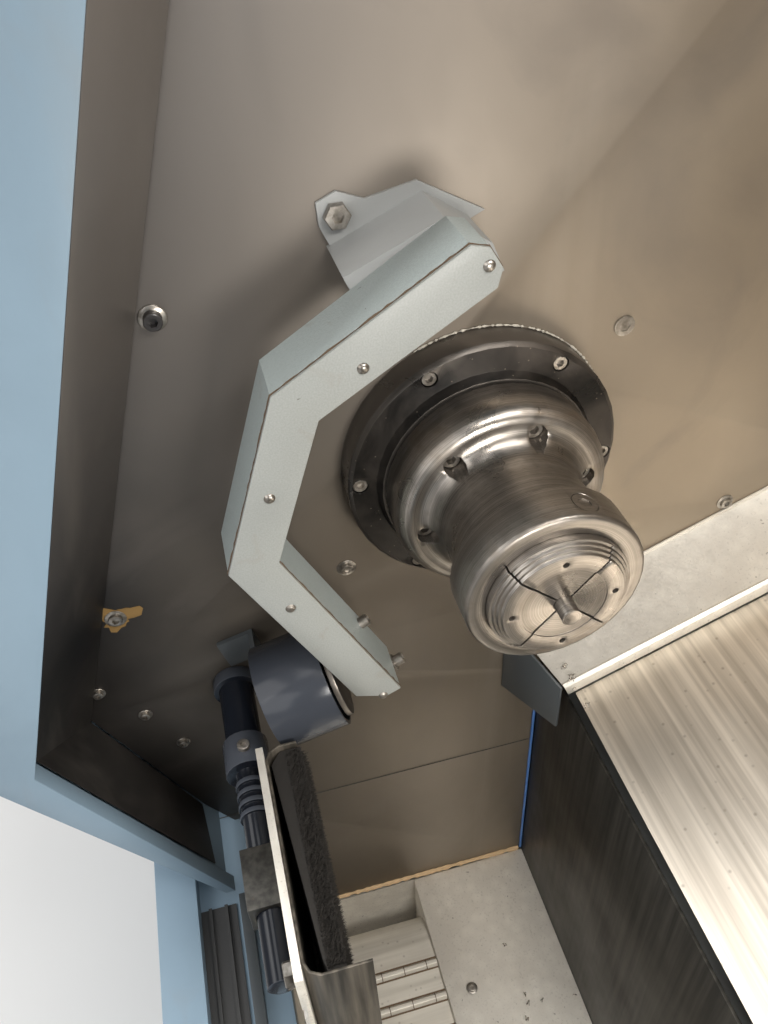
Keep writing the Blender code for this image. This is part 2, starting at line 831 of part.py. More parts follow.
def end_points():
    """The rest of an end wall's outline, behind and under the front line."""
    half = SHEET / 2
    back = BACK_Y - SHEET - GAP
    front = SILL_FRONT_Y + half
    return [
        (back, TOP_Z - SHEET - half - GAP),
        (back, -SKIRT_DROP),
        (front, -SKIRT_DROP),
        (front, SILL_Z + half + GAP),
    ]


def left_cabinet():
    half = SHEET / 2
    path = front_outline(half, SILL_Z + half + GAP, TOP_Z - SHEET - half - GAP)
    obj = folded(
        "left_cabinet",
        path,
        SIDEWAYS,
        -LEFT_LENGTH + half,
        JAMB_FACE - JAMB_DEPTH - GAP,
        SHEET,
        ends=[("all", "first", -LEFT_LENGTH + half, end_points())],
    )
    return link(obj, GREY_PAINT)


def right_cabinet():
    half = SHEET / 2
    inset = DOOR_THICKNESS + DOOR_CLEARANCE + half
    path = front_outline(inset, SILL_Z + half + GAP, TOP_Z - SHEET - half - GAP)
    obj = folded(
        "right_cabinet",
        path,
        SIDEWAYS,
        FIXED_FRONT_START,
        RIGHT_LENGTH - half,
        SHEET,
        ends=[("all", "last", RIGHT_LENGTH - half, end_points())],
    )
    return link(obj, GREY_PAINT)


def rear_cover():
    half = SHEET / 2
    path = [
        (upper_front(TOP_Z), TOP_Z - half),
        (BACK_Y - half, TOP_Z - half),
        (BACK_Y - half, -SKIRT_DROP),
    ]
    obj = folded("rear_cover", path, SIDEWAYS, -LEFT_LENGTH, RIGHT_LENGTH, SHEET)
    return link(obj, GREY_PAINT)


def front_panel():
    half = SHEET / 2
    floor = SILL_Z - TRACK_DEPTH
    path = [
        (SILL_FRONT_Y + half, -SKIRT_DROP),
        (SILL_FRONT_Y + half, SILL_Z - half),
        (SILL_BACK_Y - half, SILL_Z - half),
        (SILL_BACK_Y - half, floor),
        (SILL_BACK_Y + TRACK_WIDTH - half, floor),
        (SILL_BACK_Y + TRACK_WIDTH - half, floor - TRACK_LIP),
    ]
    low = -LEFT_LENGTH + SHEET + GAP
    high = RIGHT_LENGTH - SHEET - GAP
    return link(folded("front_panel", path, SIDEWAYS, low, high, SHEET), GREY_PAINT)


def door_track():
    low = SILL_Z - TRACK_DEPTH + SHEET / 2 + GAP
    middle = lower_front(SILL_Z) + DOOR_THICKNESS / 2
    obj = block(
        "door_track",
        (JAMB_FACE + GAP, middle - RAIL_THICKNESS / 2, low),
        (RIGHT_LENGTH - SHEET - GAP, middle + RAIL_THICKNESS / 2, low + RAIL_HEIGHT),
    )
    return link(obj, DARK_PAINT)


def right_splash_wall():
    top = TOP_Z - SHEET - GAP
    inset = DOOR_THICKNESS + DOOR_CLEARANCE + SHEET + GAP
    front = front_outline(inset, SILL_Z, top)
    over = COVER_N + COVER_LIP
    low = PAN_FLOOR_Z - SHEET
    inner = SILL_BACK_Y + TRACK_WIDTH + GAP
    outline = [
        (inner, low),
        (inner, SILL_Z),
        *front[1:],
        (REAR_WALL_Y - GAP, top),
        (REAR_WALL_Y - GAP, slope_height(REAR_WALL_Y, over)),
        (WALL_SIDE_Y, slope_height(WALL_SIDE_Y, over)),
        (WALL_SIDE_Y, low),
    ]
    body = extruded("right_splash_wall", [outline], SIDEWAYS, ROOM_LENGTH, ROOM_LENGTH + SHEET)
    return link(body, SATIN_STEEL)


def rear_splash_wall():
    obj = block(
        "rear_splash_wall",
        (GAP, REAR_WALL_Y, slope_height(REAR_WALL_Y + SHEET, BED_N) + GAP),
        (ROOM_LENGTH - GAP, REAR_WALL_Y + SHEET, TOP_Z - SHEET - GAP),
    )
    return link(obj, SATIN_STEEL)


def chip_pan():
    half = SHEET / 2
    level = WALL_BOTTOM_Z - GAP - half
    channel = [
        (PAN_FRONT_Y + half, level),
        (PAN_FRONT_Y + half, PAN_FLOOR_Z + half),
        (CHANNEL_BACK_Y - half, PAN_FLOOR_Z + half),
        (CHANNEL_BACK_Y - half, level),
    ]
    path = [(PAN_FRONT_Y + half, PAN_FRONT_Z), *channel, (PAN_EDGE_Y, level)]
    low = GAP + half
    high = ROOM_LENGTH - GAP - half
    obj = folded(
        "chip_pan",
        path,
        SIDEWAYS,
        low,
        high,
        SHEET,
        ends=[(slice(1, 5), "first", low, []), (slice(1, 5), "last", high, [])],
    )
    return link(obj, BRIGHT_STEEL)


def conveyor_belt():
    """A loop of hinged plates: its barrels stand out of both runs."""
    height = BELT_TOP_Z - BELT_LOW_Z
    radius = height / 2
    middle = (BELT_TOP_Z + BELT_LOW_Z) / 2
    start = BELT_START + radius
    end = ROOM_LENGTH - BELT_START - radius
    count = int((end - start) / BELT_PITCH)
    step = (end - start) / count
    outline = []
    for i in range(count):
        outline += barrel(end - step * (i + 0.5), BELT_TOP_Z, 0)
    outline += round_end(start, middle, radius, math.pi / 2)
    for i in range(count):
        outline += barrel(start + step * (i + 0.5), BELT_LOW_Z, math.pi)
    outline += round_end(end, middle, radius, -math.pi / 2)
    inner = radius - BELT_THICKNESS
    places = [start + step * (i + 0.5) for i in range(count)]
    hole = round_end(start, middle, inner, math.pi / 2)
    hole += [(x, middle - inner) for x in places]
    hole += round_end(end, middle, inner, -math.pi / 2)
    hole += [(x, middle + inner) for x in reversed(places)]
    flipped = [[(z, x) for x, z in ring] for ring in (outline, hole)]
    edge = SHEET + GAP * 2
    body = extruded("conveyor_belt", flipped, LENGTHWAYS, PAN_FRONT_Y + edge, CHANNEL_BACK_Y - edge)
    return link(body, BRUSHED_STEEL)


def barrel(x, z, turn):
    """One hinge barrel's half circle on a run of the belt, leftwards on top and rightwards below."""
    side = 1 if turn == 0 else -1
    angles = [math.pi * i / 3 for i in range(4)]
    return [
        (x + side * BELT_BARREL * math.cos(a), z + side * BELT_BARREL * math.sin(a)) for a in angles
    ]


def round_end(x, z, radius, start):
    return [
        (x + radius * math.cos(start + math.pi * i / 10), z + radius * math.sin(start + math.pi * i / 10))
        for i in range(11)
    ]


def bed_side_panel():
    obj = block(
        "bed_side_panel",
        (GAP, SIDE_PANEL_Y, SIDE_PANEL_LOW_Z),
        (ROOM_LENGTH - GAP, SIDE_PANEL_Y + SHEET, SIDE_PANEL_TOP_Z),
    )
    return link(obj, SATIN_STEEL)


def cover_sheet(name, start, end, level):
    """A section of the way cover, with a lip down its front edge and one up its back edge."""
    half = COVER_SHEET / 2
    shift = (level - COVER_N) / math.cos(BED_SLOPE)
    path = [
        (COVER_FRONT_U - shift, level - COVER_LIP),
        (COVER_FRONT_U - shift, level - half),
        (COVER_BACK_U, level - half),
    ]
    return link(folded(name, path, SLOPING, start, end, COVER_SHEET), BRUSHED_STEEL)


def ledge_cover():
    """The bright sheet between the wall and the way cover, with a rolled lip and a skewed front end."""
    half = LEDGE_SHEET / 2
    start = GAP + half
    lip = LEDGE_WIDTH - half
    path = [
        (start, LEDGE_WALL_N + LEDGE_SHEET * 2),
        (start, LEDGE_WALL_N),
        (lip - LEDGE_LIP_WIDTH, LEDGE_LIP_N),
        (lip - LEDGE_LIP_WIDTH / 2, LEDGE_LIP_N + half),
        (lip, LEDGE_LIP_N - half),
        (lip, LEDGE_LIP_N - LEDGE_LIP_DROP),
    ]
    plane = (X_AXIS, OFF_SLOPE)
    obj = folded("ledge_cover", path, plane, -COVER_BACK_U, -LEDGE_START_U + LEDGE_SKEW, LEDGE_SHEET)
    skew = extruded(
        "ledge_skew",
        [[
            (-OVERRUN, -LEDGE_START_U + LEDGE_SKEW),
            (LEDGE_WIDTH, -LEDGE_START_U),
            (LEDGE_WIDTH + OVERRUN, -LEDGE_START_U),
            (LEDGE_WIDTH + OVERRUN, -LEDGE_START_U + LEDGE_SKEW * 2),
            (-OVERRUN, -LEDGE_START_U + LEDGE_SKEW * 2),
        ]],
        (X_AXIS, -UP_SLOPE),
        -(LEDGE_WALL_N + OVERRUN * 2),
        -(LEDGE_LIP_N - LEDGE_LIP_DROP - OVERRUN),
    )
    return link(cut(obj, skew), BRIGHT_STEEL)


def ledge_end():
    """The dark plate that closes the ledge's front end, skewed like it."""
    start = slope_point(LEDGE_START_U - LEDGE_SKEW - GAP, LEDGE_WALL_N)
    finish = slope_point(LEDGE_START_U - GAP, LEDGE_LIP_N)
    run = Vector((LEDGE_WIDTH - GAP, finish[0] - start[0], 0))
    length = run.length
    run.normalize()
    work_plane = (run, Z_AXIS)
    low = finish[1] - LEDGE_PLATE_DROP
    outline = [
        (GAP, start[1] + LEDGE_SHEET),
        (GAP, low - LEDGE_PLATE_REACH),
        (length, low),
        (length, finish[1] + LEDGE_SHEET),
    ]
    body = extruded("ledge_end", [outline], work_plane, 0, LEDGE_PLATE)
    body.data.transform(Matrix.Translation((GAP, start[0] - LEDGE_PLATE_REACH / 8, 0)))
    return link(body, DARK_PAINT)


def guide_rail(name, u):
    outline = [
        (u, BED_N + GAP),
        (u + RAIL_WIDTH, BED_N + GAP),
        (u + RAIL_WIDTH, BED_N + GAP + GUIDE_HEIGHT),
        (u, BED_N + GAP + GUIDE_HEIGHT),
    ]
    return link(extruded(name, [outline], SLOPING, GUIDE_START, GUIDE_END), BRUSHED_STEEL)


# Headstock and spindle


def headstock_casting():
    seat = BED_N + GAP
    front_low = slope_point(BED_FRONT_U, seat)
    back_low = slope_point(HEAD_BACK_U, seat)
    outline = [
        front_low,
        back_low,
        (back_low[0], HEAD_BACK_Z),
        (HEAD_HALF, HEAD_TOP_Z),
        (-HEAD_HALF, HEAD_TOP_Z),
        (-HEAD_HALF, -HEAD_HALF),
    ]
    rings = [outline, circle((0, 0), HEAD_BORE)]
    body = extruded("headstock_casting", rings, SIDEWAYS, -HEAD_LEFT, -HEAD_FRONT)
    return link(body, CASTING_PAINT)


def bearings():
    inner = SPINDLE_RADIUS + GAP
    outer = HEAD_BORE - GAP
    front = -HEAD_FRONT
    rear = -HEAD_LEFT
    link(tube("front_bearing", front - BEARING_WIDTH, front, inner, outer), TURNED_STEEL)
    link(tube("rear_bearing", rear, rear + BEARING_WIDTH, inner, outer), TURNED_STEEL)


def screw_holes(count, turn, ring, radius, low, high, steps=10):
    """Round cutters along X on a circle about the spindle axis."""
    for i in range(count):
        place = along(turn + math.tau * i / count, ring)
        yield cylinder(f"hole_{ring:.3f}_{i}", low, high, radius, tuple(place), steps)


def bearing_flange():
    profile = [
        (LABYRINTH_FACE, LABYRINTH_BORE),
        (LABYRINTH_FACE, LABYRINTH_RADIUS - FLANGE_CHAMFER),
        (FLANGE_FACE, LABYRINTH_RADIUS),
        (FLANGE_FACE, FLANGE_RADIUS - FLANGE_CHAMFER),
        (FLANGE_FACE - FLANGE_CHAMFER, FLANGE_RADIUS),
        (GAP, FLANGE_RADIUS),
        (GAP, FLANGE_SPIGOT),
        (-HEAD_FRONT + GAP, FLANGE_SPIGOT),
        (-HEAD_FRONT + GAP, SPINDLE_RADIUS + GAP * 2),
        (SPINDLE_NOSE_BACK - GAP * 2, SPINDLE_RADIUS + GAP * 2),
        (SPINDLE_NOSE_BACK - GAP * 2, LABYRINTH_BORE),
    ]
    body = turned("bearing_flange", profile, ring=True, steps=40)
    floor = FLANGE_FACE - FLANGE_SCREW_DEPTH
    holes = screw_holes(
        SCREW_COUNT, FLANGE_SCREW_TURN, FLANGE_SCREW_CIRCLE, FLANGE_SCREW_HOLE, floor, FLANGE_FACE + OVERRUN
    )
    for hole in holes:
        cut(body, hole)
    return link(body, BLACK_STEEL)


def spindle_shaft():
    profile = [
        (SPINDLE_NOSE_END, SPINDLE_BORE),
        (SPINDLE_NOSE_END, SPINDLE_NOSE_RADIUS),
        (SPINDLE_NOSE_BACK, SPINDLE_NOSE_RADIUS),
        (SPINDLE_NOSE_BACK, SPINDLE_RADIUS),
        (-SPINDLE_REAR, SPINDLE_RADIUS),
        (-SPINDLE_REAR, SPINDLE_BORE),
    ]
    return link(turned("spindle_shaft", profile, ring=True), TURNED_STEEL)


def nose_fillet():
    """The concave neck between the nose's flange and its shoulder."""
    drop = NOSE_FACE_RADIUS - NOSE_FLANGE_EDGE - NECK_RADIUS
    run = NECK_START - NOSE_FLANGE_FACE
    steps = 5
    return [
        (
            NECK_START - run * math.sin(math.pi / 2 * i / steps),
            NECK_RADIUS + drop * (1 - math.cos(math.pi / 2 * i / steps)),
        )
        for i in range(steps + 1)
    ]


def nose_crown():
    """The rounded outer edge of the nose's flange."""
    drop = NOSE_FLANGE_RADIUS - NOSE_FACE_RADIUS
    run = NOSE_FLANGE_FACE - NOSE_FLANGE_EDGE_X
    steps = 5
    return [
        (
            NOSE_FLANGE_EDGE_X + run * math.cos(math.pi / 2 * i / steps),
            NOSE_FACE_RADIUS + drop * math.sin(math.pi / 2 * i / steps),
        )
        for i in range(steps + 1)
    ]


def collet_nose():
    seat = NOSE_FACE - NOSE_SEAT_DEPTH
    rounding = [
        (
            NOSE_FACE - NOSE_ROUND * (1 - math.cos(math.pi / 2 * i / 3)),
            NOSE_RADIUS - NOSE_ROUND * (1 - math.sin(math.pi / 2 * i / 3)),
        )
        for i in range(4)
    ]
    profile = [
        (NOSE_FACE, NOSE_MOUTH),
        *rounding,
        (NOSE_SHOULDER, NOSE_RADIUS),
        (NECK_END, NECK_RADIUS),
        *nose_fillet(),
        *nose_crown(),
        (NOSE_BACK, NOSE_FLANGE_RADIUS),
        (NOSE_BACK, NOSE_BORE),
        (seat - NOSE_TAPER_DEPTH, NOSE_BORE),
        (seat, NOSE_MOUTH),
    ]
    body = turned("collet_nose", profile, ring=True, steps=36)
    holes = screw_holes(
        SCREW_COUNT, NOSE_SCREW_TURN, NOSE_SCREW_CIRCLE, NOSE_SCREW_HOLE, NOSE_SCREW_FLOOR, NECK_START
    )
    for hole in holes:
        cut(body, hole)
    way = along(PLUG_ANGLE, NOSE_RADIUS - PLUG_DEPTH)
    pole = Vector((0, way.x, way.y)).normalized()
    turn = Matrix.Translation((PLUG_X, way.x, way.y)) @ pole.to_track_quat("Z", "X").to_matrix().to_4x4()
    recess = [(OVERRUN, 0), (OVERRUN, PLUG_RADIUS), (0, PLUG_RADIUS), (0, 0)]
    cut(body, turned("plug_recess", recess, steps=20, turn=turn))
    return link(body, TURNED_STEEL)


def collet():
    """A stepped collet: its slots part the head into four fingers that stay joined at the tail."""
    seat = NOSE_FACE - NOSE_SEAT_DEPTH
    radius = NOSE_MOUTH - GAP
    steps = []
    for i in range(COLLET_STEPS):
        x = COLLET_FACE - COLLET_STEP * i
        r = COLLET_RING + COLLET_STEP_WIDTH * i
        steps += [(x, r), (x - COLLET_STEP, r + COLLET_STEP_WIDTH / 4)]
    shoulder = COLLET_FACE - COLLET_STEP * COLLET_STEPS
    floor = COLLET_FACE - COLLET_CORE_STEP
    bore = BAR_RADIUS + GAP
    taper_end = seat - NOSE_TAPER_DEPTH
    profile = [
        (floor, bore),
        (floor, COLLET_CORE),
        (COLLET_FACE, COLLET_CORE),
        *steps,
        (shoulder, radius),
        (seat - GAP, radius),
        (taper_end - GAP, NOSE_BORE - GAP),
        (COLLET_SLOT_END - OVERRUN, NOSE_BORE - GAP),
        (COLLET_SLOT_END - OVERRUN, COLLET_TAIL),
        (COLLET_END, COLLET_TAIL),
        (COLLET_END, DRAW_BORE),
        (taper_end, DRAW_BORE),
        (taper_end, bore),
    ]
    body = turned("collet", profile, ring=True, steps=36)
    reach = NOSE_MOUTH + OVERRUN
    for i in range(2):
        slot = block(
            f"slot_{i}",
            (COLLET_SLOT_END, -reach, -COLLET_SLOT / 2),
            (COLLET_FACE + OVERRUN, reach, COLLET_SLOT / 2),
        )
        slot.data.transform(Matrix.Rotation(COLLET_TURN + math.pi / 2 * i, 4, "X"))
        cut(body, slot)
    floor_of_pins = COLLET_FACE - COLLET_PIN_DEPTH
    pins = screw_holes(
        4, COLLET_TURN + math.pi / 4, COLLET_PIN_CIRCLE, COLLET_PIN_HOLE, floor_of_pins, COLLET_FACE + OVERRUN, 8
    )
    for hole in pins:
        cut(body, hole)
    return link(body, TURNED_STEEL)


def draw_tube():
    head = -DRAW_REAR
    profile = [
        (COLLET_END - GAP, DRAW_BORE),
        (COLLET_END - GAP, COLLET_TAIL),
        (head, COLLET_TAIL),
        (head, DRAW_HEAD),
        (head - DRAW_HEAD_WIDTH, DRAW_HEAD),
        (head - DRAW_HEAD_WIDTH, DRAW_BORE),
    ]
    return link(turned("draw_tube", profile, ring=True, steps=28), TURNED_STEEL)


def bar_stock():
    return link(cylinder("bar_stock", -BAR_REAR, BAR_END, BAR_RADIUS, steps=24), BRIGHT_STEEL)


# Drive


def pulley(name, radius, bore, centre):
    low = -PULLEY_LEFT
    high = low + PULLEY_WIDTH
    profile = [
        (high, bore),
        (high, radius + PULLEY_RIM),
        (high - PULLEY_RIM_WIDTH, radius + PULLEY_RIM),
        (high - PULLEY_RIM_WIDTH, radius),
        (low + PULLEY_RIM_WIDTH, radius),
        (low + PULLEY_RIM_WIDTH, radius + PULLEY_RIM),
        (low, radius + PULLEY_RIM),
        (low, bore),
    ]
    return turned(name, profile, centre, ring=True)


def drive_pulleys():
    link(pulley("spindle_pulley", PULLEY_RADIUS, SPINDLE_RADIUS + GAP, (0, 0)), CAST_IRON)
    at_motor = (MOTOR_Y, MOTOR_Z)
    bore = MOTOR_SHAFT + GAP
    link(pulley("motor_pulley", MOTOR_PULLEY_RADIUS, bore, at_motor), CAST_IRON, (0, *at_motor))


def belt_ring(big, small):
    """A line round both pulleys: two arcs joined by the straight runs."""
    span = Vector((MOTOR_Y, MOTOR_Z))
    way = math.atan2(span.y, span.x)
    lean = math.acos((big - small) / span.length)
    points = []
    for i in range(17):
        angle = way + lean + (math.tau - 2 * lean) * i / 16
        points.append(tuple(along(angle, big)))
    for i in range(13):
        angle = way - lean + 2 * lean * i / 12
        points.append(tuple(span + along(angle, small)))
    return points


def drive_belt():
    inner = belt_ring(PULLEY_RADIUS + BELT_CLEARANCE, MOTOR_PULLEY_RADIUS + BELT_CLEARANCE)
    outer = belt_ring(PULLEY_RADIUS + BELT_WALL, MOTOR_PULLEY_RADIUS + BELT_WALL)
    low = -PULLEY_LEFT + PULLEY_RIM_WIDTH + GAP
    high = -PULLEY_LEFT + PULLEY_WIDTH - PULLEY_RIM_WIDTH - GAP
    return link(extruded("drive_belt", [outer, inner], SIDEWAYS, low, high), BELT_RUBBER)


def spindle_motor():
    """A finned motor whose feet bolt to the bed's face, with a shaft through its pulley."""
    ribs = []
    for i in range(MOTOR_FINS * 4):
        deep = MOTOR_FIN_DEPTH if i % 4 > 1 else 0
        angle = math.tau * (i + 0.5) / (MOTOR_FINS * 4)
        ribs.append(tuple(Vector((MOTOR_Y, MOTOR_Z)) + along(angle, MOTOR_RADIUS - deep)))
    body = extruded("spindle_motor", [ribs], SIDEWAYS, -MOTOR_FRONT - MOTOR_LENGTH, -MOTOR_FRONT)
    foot = block(
        "motor_foot",
        (-MOTOR_FRONT - MOTOR_LENGTH + OVERRUN, MOTOR_Y, MOTOR_Z - MOTOR_FOOT_HALF),
        (-MOTOR_FRONT - OVERRUN, BED_FACE_Y - GAP, MOTOR_Z + MOTOR_FOOT_HALF),
    )
    joined(body, foot)
    start = -PULLEY_LEFT - PULLEY_RIM
    joined(body, cylinder("motor_shaft", start, -MOTOR_FRONT - OVERRUN, MOTOR_SHAFT, (MOTOR_Y, MOTOR_Z), 24))
    return link(body, CAST_IRON)


def feed_drive():
    centre = slope_point(SCREW_U, SCREW_N)
    screw = cylinder("ball_screw", SCREW_START, FEED_MOTOR_START - GAP, SCREW_RADIUS, centre, 24)
    link(screw, TURNED_STEEL, (0, *centre))
    half = FEED_MOTOR_SIDE / 2
    low = BED_N + GAP
    outline = [
        (SCREW_U - half, low),
        (SCREW_U + half, low),
        (SCREW_U + half, low + FEED_MOTOR_SIDE),
        (SCREW_U - half, low + FEED_MOTOR_SIDE),
    ]
    end = FEED_MOTOR_START + FEED_MOTOR_LENGTH
    link(extruded("feed_motor", [outline], SLOPING, FEED_MOTOR_START, end), DARK_PAINT)


# Tool presetter


def arm_line():
    pivot = Vector((ARM_TOP_Y, ARM_TOP_Z))
    elbow = pivot + along(ARM_UPPER_TURN, ARM_UPPER_LEG)
    knee = elbow + along(ARM_MIDDLE_TURN, ARM_MIDDLE_LEG)
    tip = knee + along(ARM_LOWER_TURN, ARM_LOWER_LEG)
    return [pivot - along(ARM_UPPER_TURN, ARM_TOP_REACH), elbow, knee, tip]


def arm_outline(inset=0.0):
    """The arm's three legs, with its top and its lower outer corner cut off."""
    outline = band(arm_line(), ARM_WIDTH, inset)
    outline = chamfered(outline, 7, ARM_TOP_CHAMFER)
    outline = chamfered(outline, 4, ARM_TIP_CHAMFER - inset)
    return pairs(chamfered(outline, 0, ARM_TOP_CHAMFER))


def presetter_arm():
    pivot = (0, ARM_PIVOT_Y, ARM_PIVOT_Z)
    end = ARM_FACE - ARM_COVER - GAP
    body = extruded("presetter_arm", [arm_outline()], SIDEWAYS, ARM_BACK, end)
    pocket = extruded("arm_pocket", [arm_outline(ARM_WALL)], SIDEWAYS, ARM_BACK + ARM_WALL, end + OVERRUN)
    cut(body, pocket)
    near = CUP_LENGTH + PROBE_CAP_THICKNESS
    far = near + PROBE_REACH * 2
    hole = PROBE_BODY + GAP
    bore = turned("probe_bore", [(far, 0), (far, hole), (near, hole), (near, 0)], steps=20, turn=cup_turn())
    cut(body, bore)
    return link(body, CREAM_COAT, pivot)


def presetter_cover():
    pivot = (0, ARM_PIVOT_Y, ARM_PIVOT_Z)
    body = extruded("presetter_cover", [arm_outline()], SIDEWAYS, ARM_FACE - ARM_COVER, ARM_FACE)
    return link(body, CREAM_COAT, pivot)


def presetter_shaft():
    pivot = (0, ARM_PIVOT_Y, ARM_PIVOT_Z)
    profile = [
        (ARM_BACK - GAP, 0),
        (ARM_BACK - GAP, ARM_HUB),
        (BRACKET_DEPTH + GAP * 2, ARM_HUB),
        (BRACKET_DEPTH + GAP * 2, ARM_SHAFT),
        (GAP * 2, ARM_SHAFT),
        (GAP * 2, 0),
    ]
    return link(turned("presetter_shaft", profile, pivot[1:], steps=24), BLACK_STEEL, pivot)


def presetter_bracket():
    """A bent hat bracket: a box open at the wall, with tabs on both sides and a hole for the shaft."""
    corner = Vector((BRACKET_CORNER_Y, BRACKET_CORNER_Z))
    run = along(BRACKET_TURN, 1)
    down = Vector((run.y, -run.x))

    def placed(shape):
        return [tuple(corner + run * a + down * b) for a, b in shape]

    wall = BRACKET_WALL
    low = BRACKET_HEIGHT
    lean = (BRACKET_LENGTH - BRACKET_TOP) / BRACKET_SLANT
    outer = placed([
        (0, 0),
        (BRACKET_TOP, 0),
        (BRACKET_LENGTH, BRACKET_SLANT),
        (BRACKET_LENGTH, low),
        (0, low),
    ])
    body = extruded("presetter_bracket", [outer], SIDEWAYS, GAP, BRACKET_DEPTH)
    tab = placed([
        (TAB_LEFT, wall * 2),
        (TAB_LEFT, -TAB_SHOULDER),
        (TAB_TIP, -TAB_REACH),
        (TAB_TIP * 3, -TAB_REACH),
        (TAB_END, -TAB_SHOULDER),
        (BRACKET_TOP, -TAB_SHOULDER / 2),
        (TAB_RIGHT, BRACKET_SLANT + wall),
        (BRACKET_LENGTH - wall / 2, BRACKET_SLANT + wall),
        (BRACKET_TOP - wall, wall * 2),
    ])
    joined(body, extruded("bracket_tab", [tab], SIDEWAYS, GAP, wall + GAP))
    inner = placed([
        (wall, wall),
        (BRACKET_TOP - wall, wall),
        (BRACKET_LENGTH - wall * lean - wall, BRACKET_SLANT),
        (BRACKET_LENGTH - wall * lean - wall, low - wall),
        (wall, low - wall),
    ])
    cut(body, extruded("bracket_pocket", [inner], SIDEWAYS, -OVERRUN, BRACKET_DEPTH - wall))
    hole = cylinder("bracket_hole", -OVERRUN, BRACKET_DEPTH + OVERRUN, BRACKET_HOLE, (ARM_PIVOT_Y, ARM_PIVOT_Z), 28)
    cut(body, hole)
    return link(body, SATIN_STEEL)


def cup_turn(offset=0.0):
    """The cup's frame: local Z points out of its mouth."""
    pole = Vector((0, math.cos(CUP_TURN), math.sin(CUP_TURN)))
    place = Vector((CUP_X, CUP_Y, CUP_Z)) + pole * offset
    return Matrix.Translation(place) @ pole.to_track_quat("Z", "X").to_matrix().to_4x4()


def probe_cup():
    rim = [
        (CUP_WALL, 0),
        (CUP_WALL, CUP_RADIUS - CUP_WALL),
        (CUP_LENGTH, CUP_RADIUS - CUP_WALL),
        (CUP_LENGTH, CUP_RADIUS),
        (0, CUP_RADIUS),
        (0, 0),
    ]
    return link(turned("probe_cup", rim, steps=44, turn=cup_turn()), GLOSS_BLACK)


def cup_bracket():
    """An angle from the wall to the back of the cup."""
    pole = Vector((0, math.cos(CUP_TURN), math.sin(CUP_TURN)))
    side = pole.cross(X_AXIS)
    base = Vector((0, CUP_Y, CUP_Z))
    back = base.dot(pole) - GAP
    middle = base.dot(side)
    path = [
        (back - CUP_FOOT, GAP),
        (back, GAP),
        (back, CUP_X + CUP_PLATE_HALF),
        (back - CUP_PLATE, CUP_X + CUP_PLATE_HALF),
        (back - CUP_PLATE, GAP + CUP_PLATE),
        (back - CUP_FOOT, GAP + CUP_PLATE),
    ]
    body = extruded("cup_bracket", [path], (pole, X_AXIS), middle - CUP_PLATE_HALF, middle + CUP_PLATE_HALF)
    return link(body, DARK_PAINT)


def presetter_probe():
    """The probe on the arm's tip: a cap over the cup's mouth, a body into the arm and a stylus."""
    pivot = (0, ARM_PIVOT_Y, ARM_PIVOT_Z)
    near = CUP_LENGTH + GAP * 4
    cap = near + PROBE_CAP_THICKNESS
    tip = near - PROBE_STEM_LENGTH
    profile = [
        (cap + PROBE_REACH, 0),
        (cap + PROBE_REACH, PROBE_BODY),
        (cap, PROBE_BODY),
        (cap, PROBE_CAP),
        (near, PROBE_CAP),
        (near, PROBE_STEM),
        (tip, PROBE_STEM),
        (tip, PROBE_TIP),
        (tip - PROBE_TIP, PROBE_TIP),
        (tip - PROBE_TIP, 0),
    ]
    body = turned("presetter_probe", profile, steps=28, turn=cup_turn())
    return link(body, BLACK_STEEL, pivot)


# Parts catcher


def catcher_bearing():
    bore = CATCHER_SHAFT + GAP
    profile = [
        (CATCHER_TUBE_END, bore),
        (CATCHER_TUBE_END, CATCHER_TUBE),
        (CATCHER_COLLAR_WIDTH, CATCHER_TUBE),
        (CATCHER_COLLAR_WIDTH, CATCHER_COLLAR),
        (GAP, CATCHER_COLLAR),
        (GAP, bore),
    ]
    body = turned("catcher_bearing", profile, (CATCHER_Y, CATCHER_Z), 28, ring=True)
    return link(body, GLOSS_BLACK)


def catcher_shaft():
    pivot = (0, CATCHER_Y, CATCHER_Z)
    start = CATCHER_TUBE_END + GAP
    profile = [(CATCHER_SHAFT_END, 0), (CATCHER_SHAFT_END, CATCHER_SHAFT)]
    for i in reversed(range(RING_COUNT)):
        low = CLAMP_END + RING_STEP * (i + 1)
        profile += [
            (low + RING_WIDTH, CATCHER_SHAFT),
            (low + RING_WIDTH, RING_RADIUS),
            (low, RING_RADIUS),
            (low, CATCHER_SHAFT),
        ]
    profile += [
        (CLAMP_END, CATCHER_SHAFT),
        (CLAMP_END, CLAMP_RADIUS),
        (start, CLAMP_RADIUS),
        (start, CATCHER_SHAFT),
        (-CATCHER_SHAFT_BACK, CATCHER_SHAFT),
        (-CATCHER_SHAFT_BACK, 0),
    ]
    return link(turned("catcher_shaft", profile, pivot[1:], 20), TURNED_STEEL, pivot)


def catcher_block():
    """The split block that clamps the chute's plate to the shaft."""
    pivot = (0, CATCHER_Y, CATCHER_Z)
    body = block(
        "catcher_block",
        (BLOCK_START, CATCHER_Y - BLOCK_HALF, CATCHER_Z - BLOCK_HALF),
        (BLOCK_START + BLOCK_LENGTH, CATCHER_PLATE_Y - CATCHER_PLATE_THICKNESS - GAP, CATCHER_Z + BLOCK_HALF),
    )
    bore = cylinder(
        "block_bore",
        BLOCK_START - OVERRUN,
        BLOCK_START + BLOCK_LENGTH + OVERRUN,
        CATCHER_SHAFT + GAP,
        pivot[1:],
        28,
    )
    return link(cut(body, bore), DARK_PAINT, pivot)


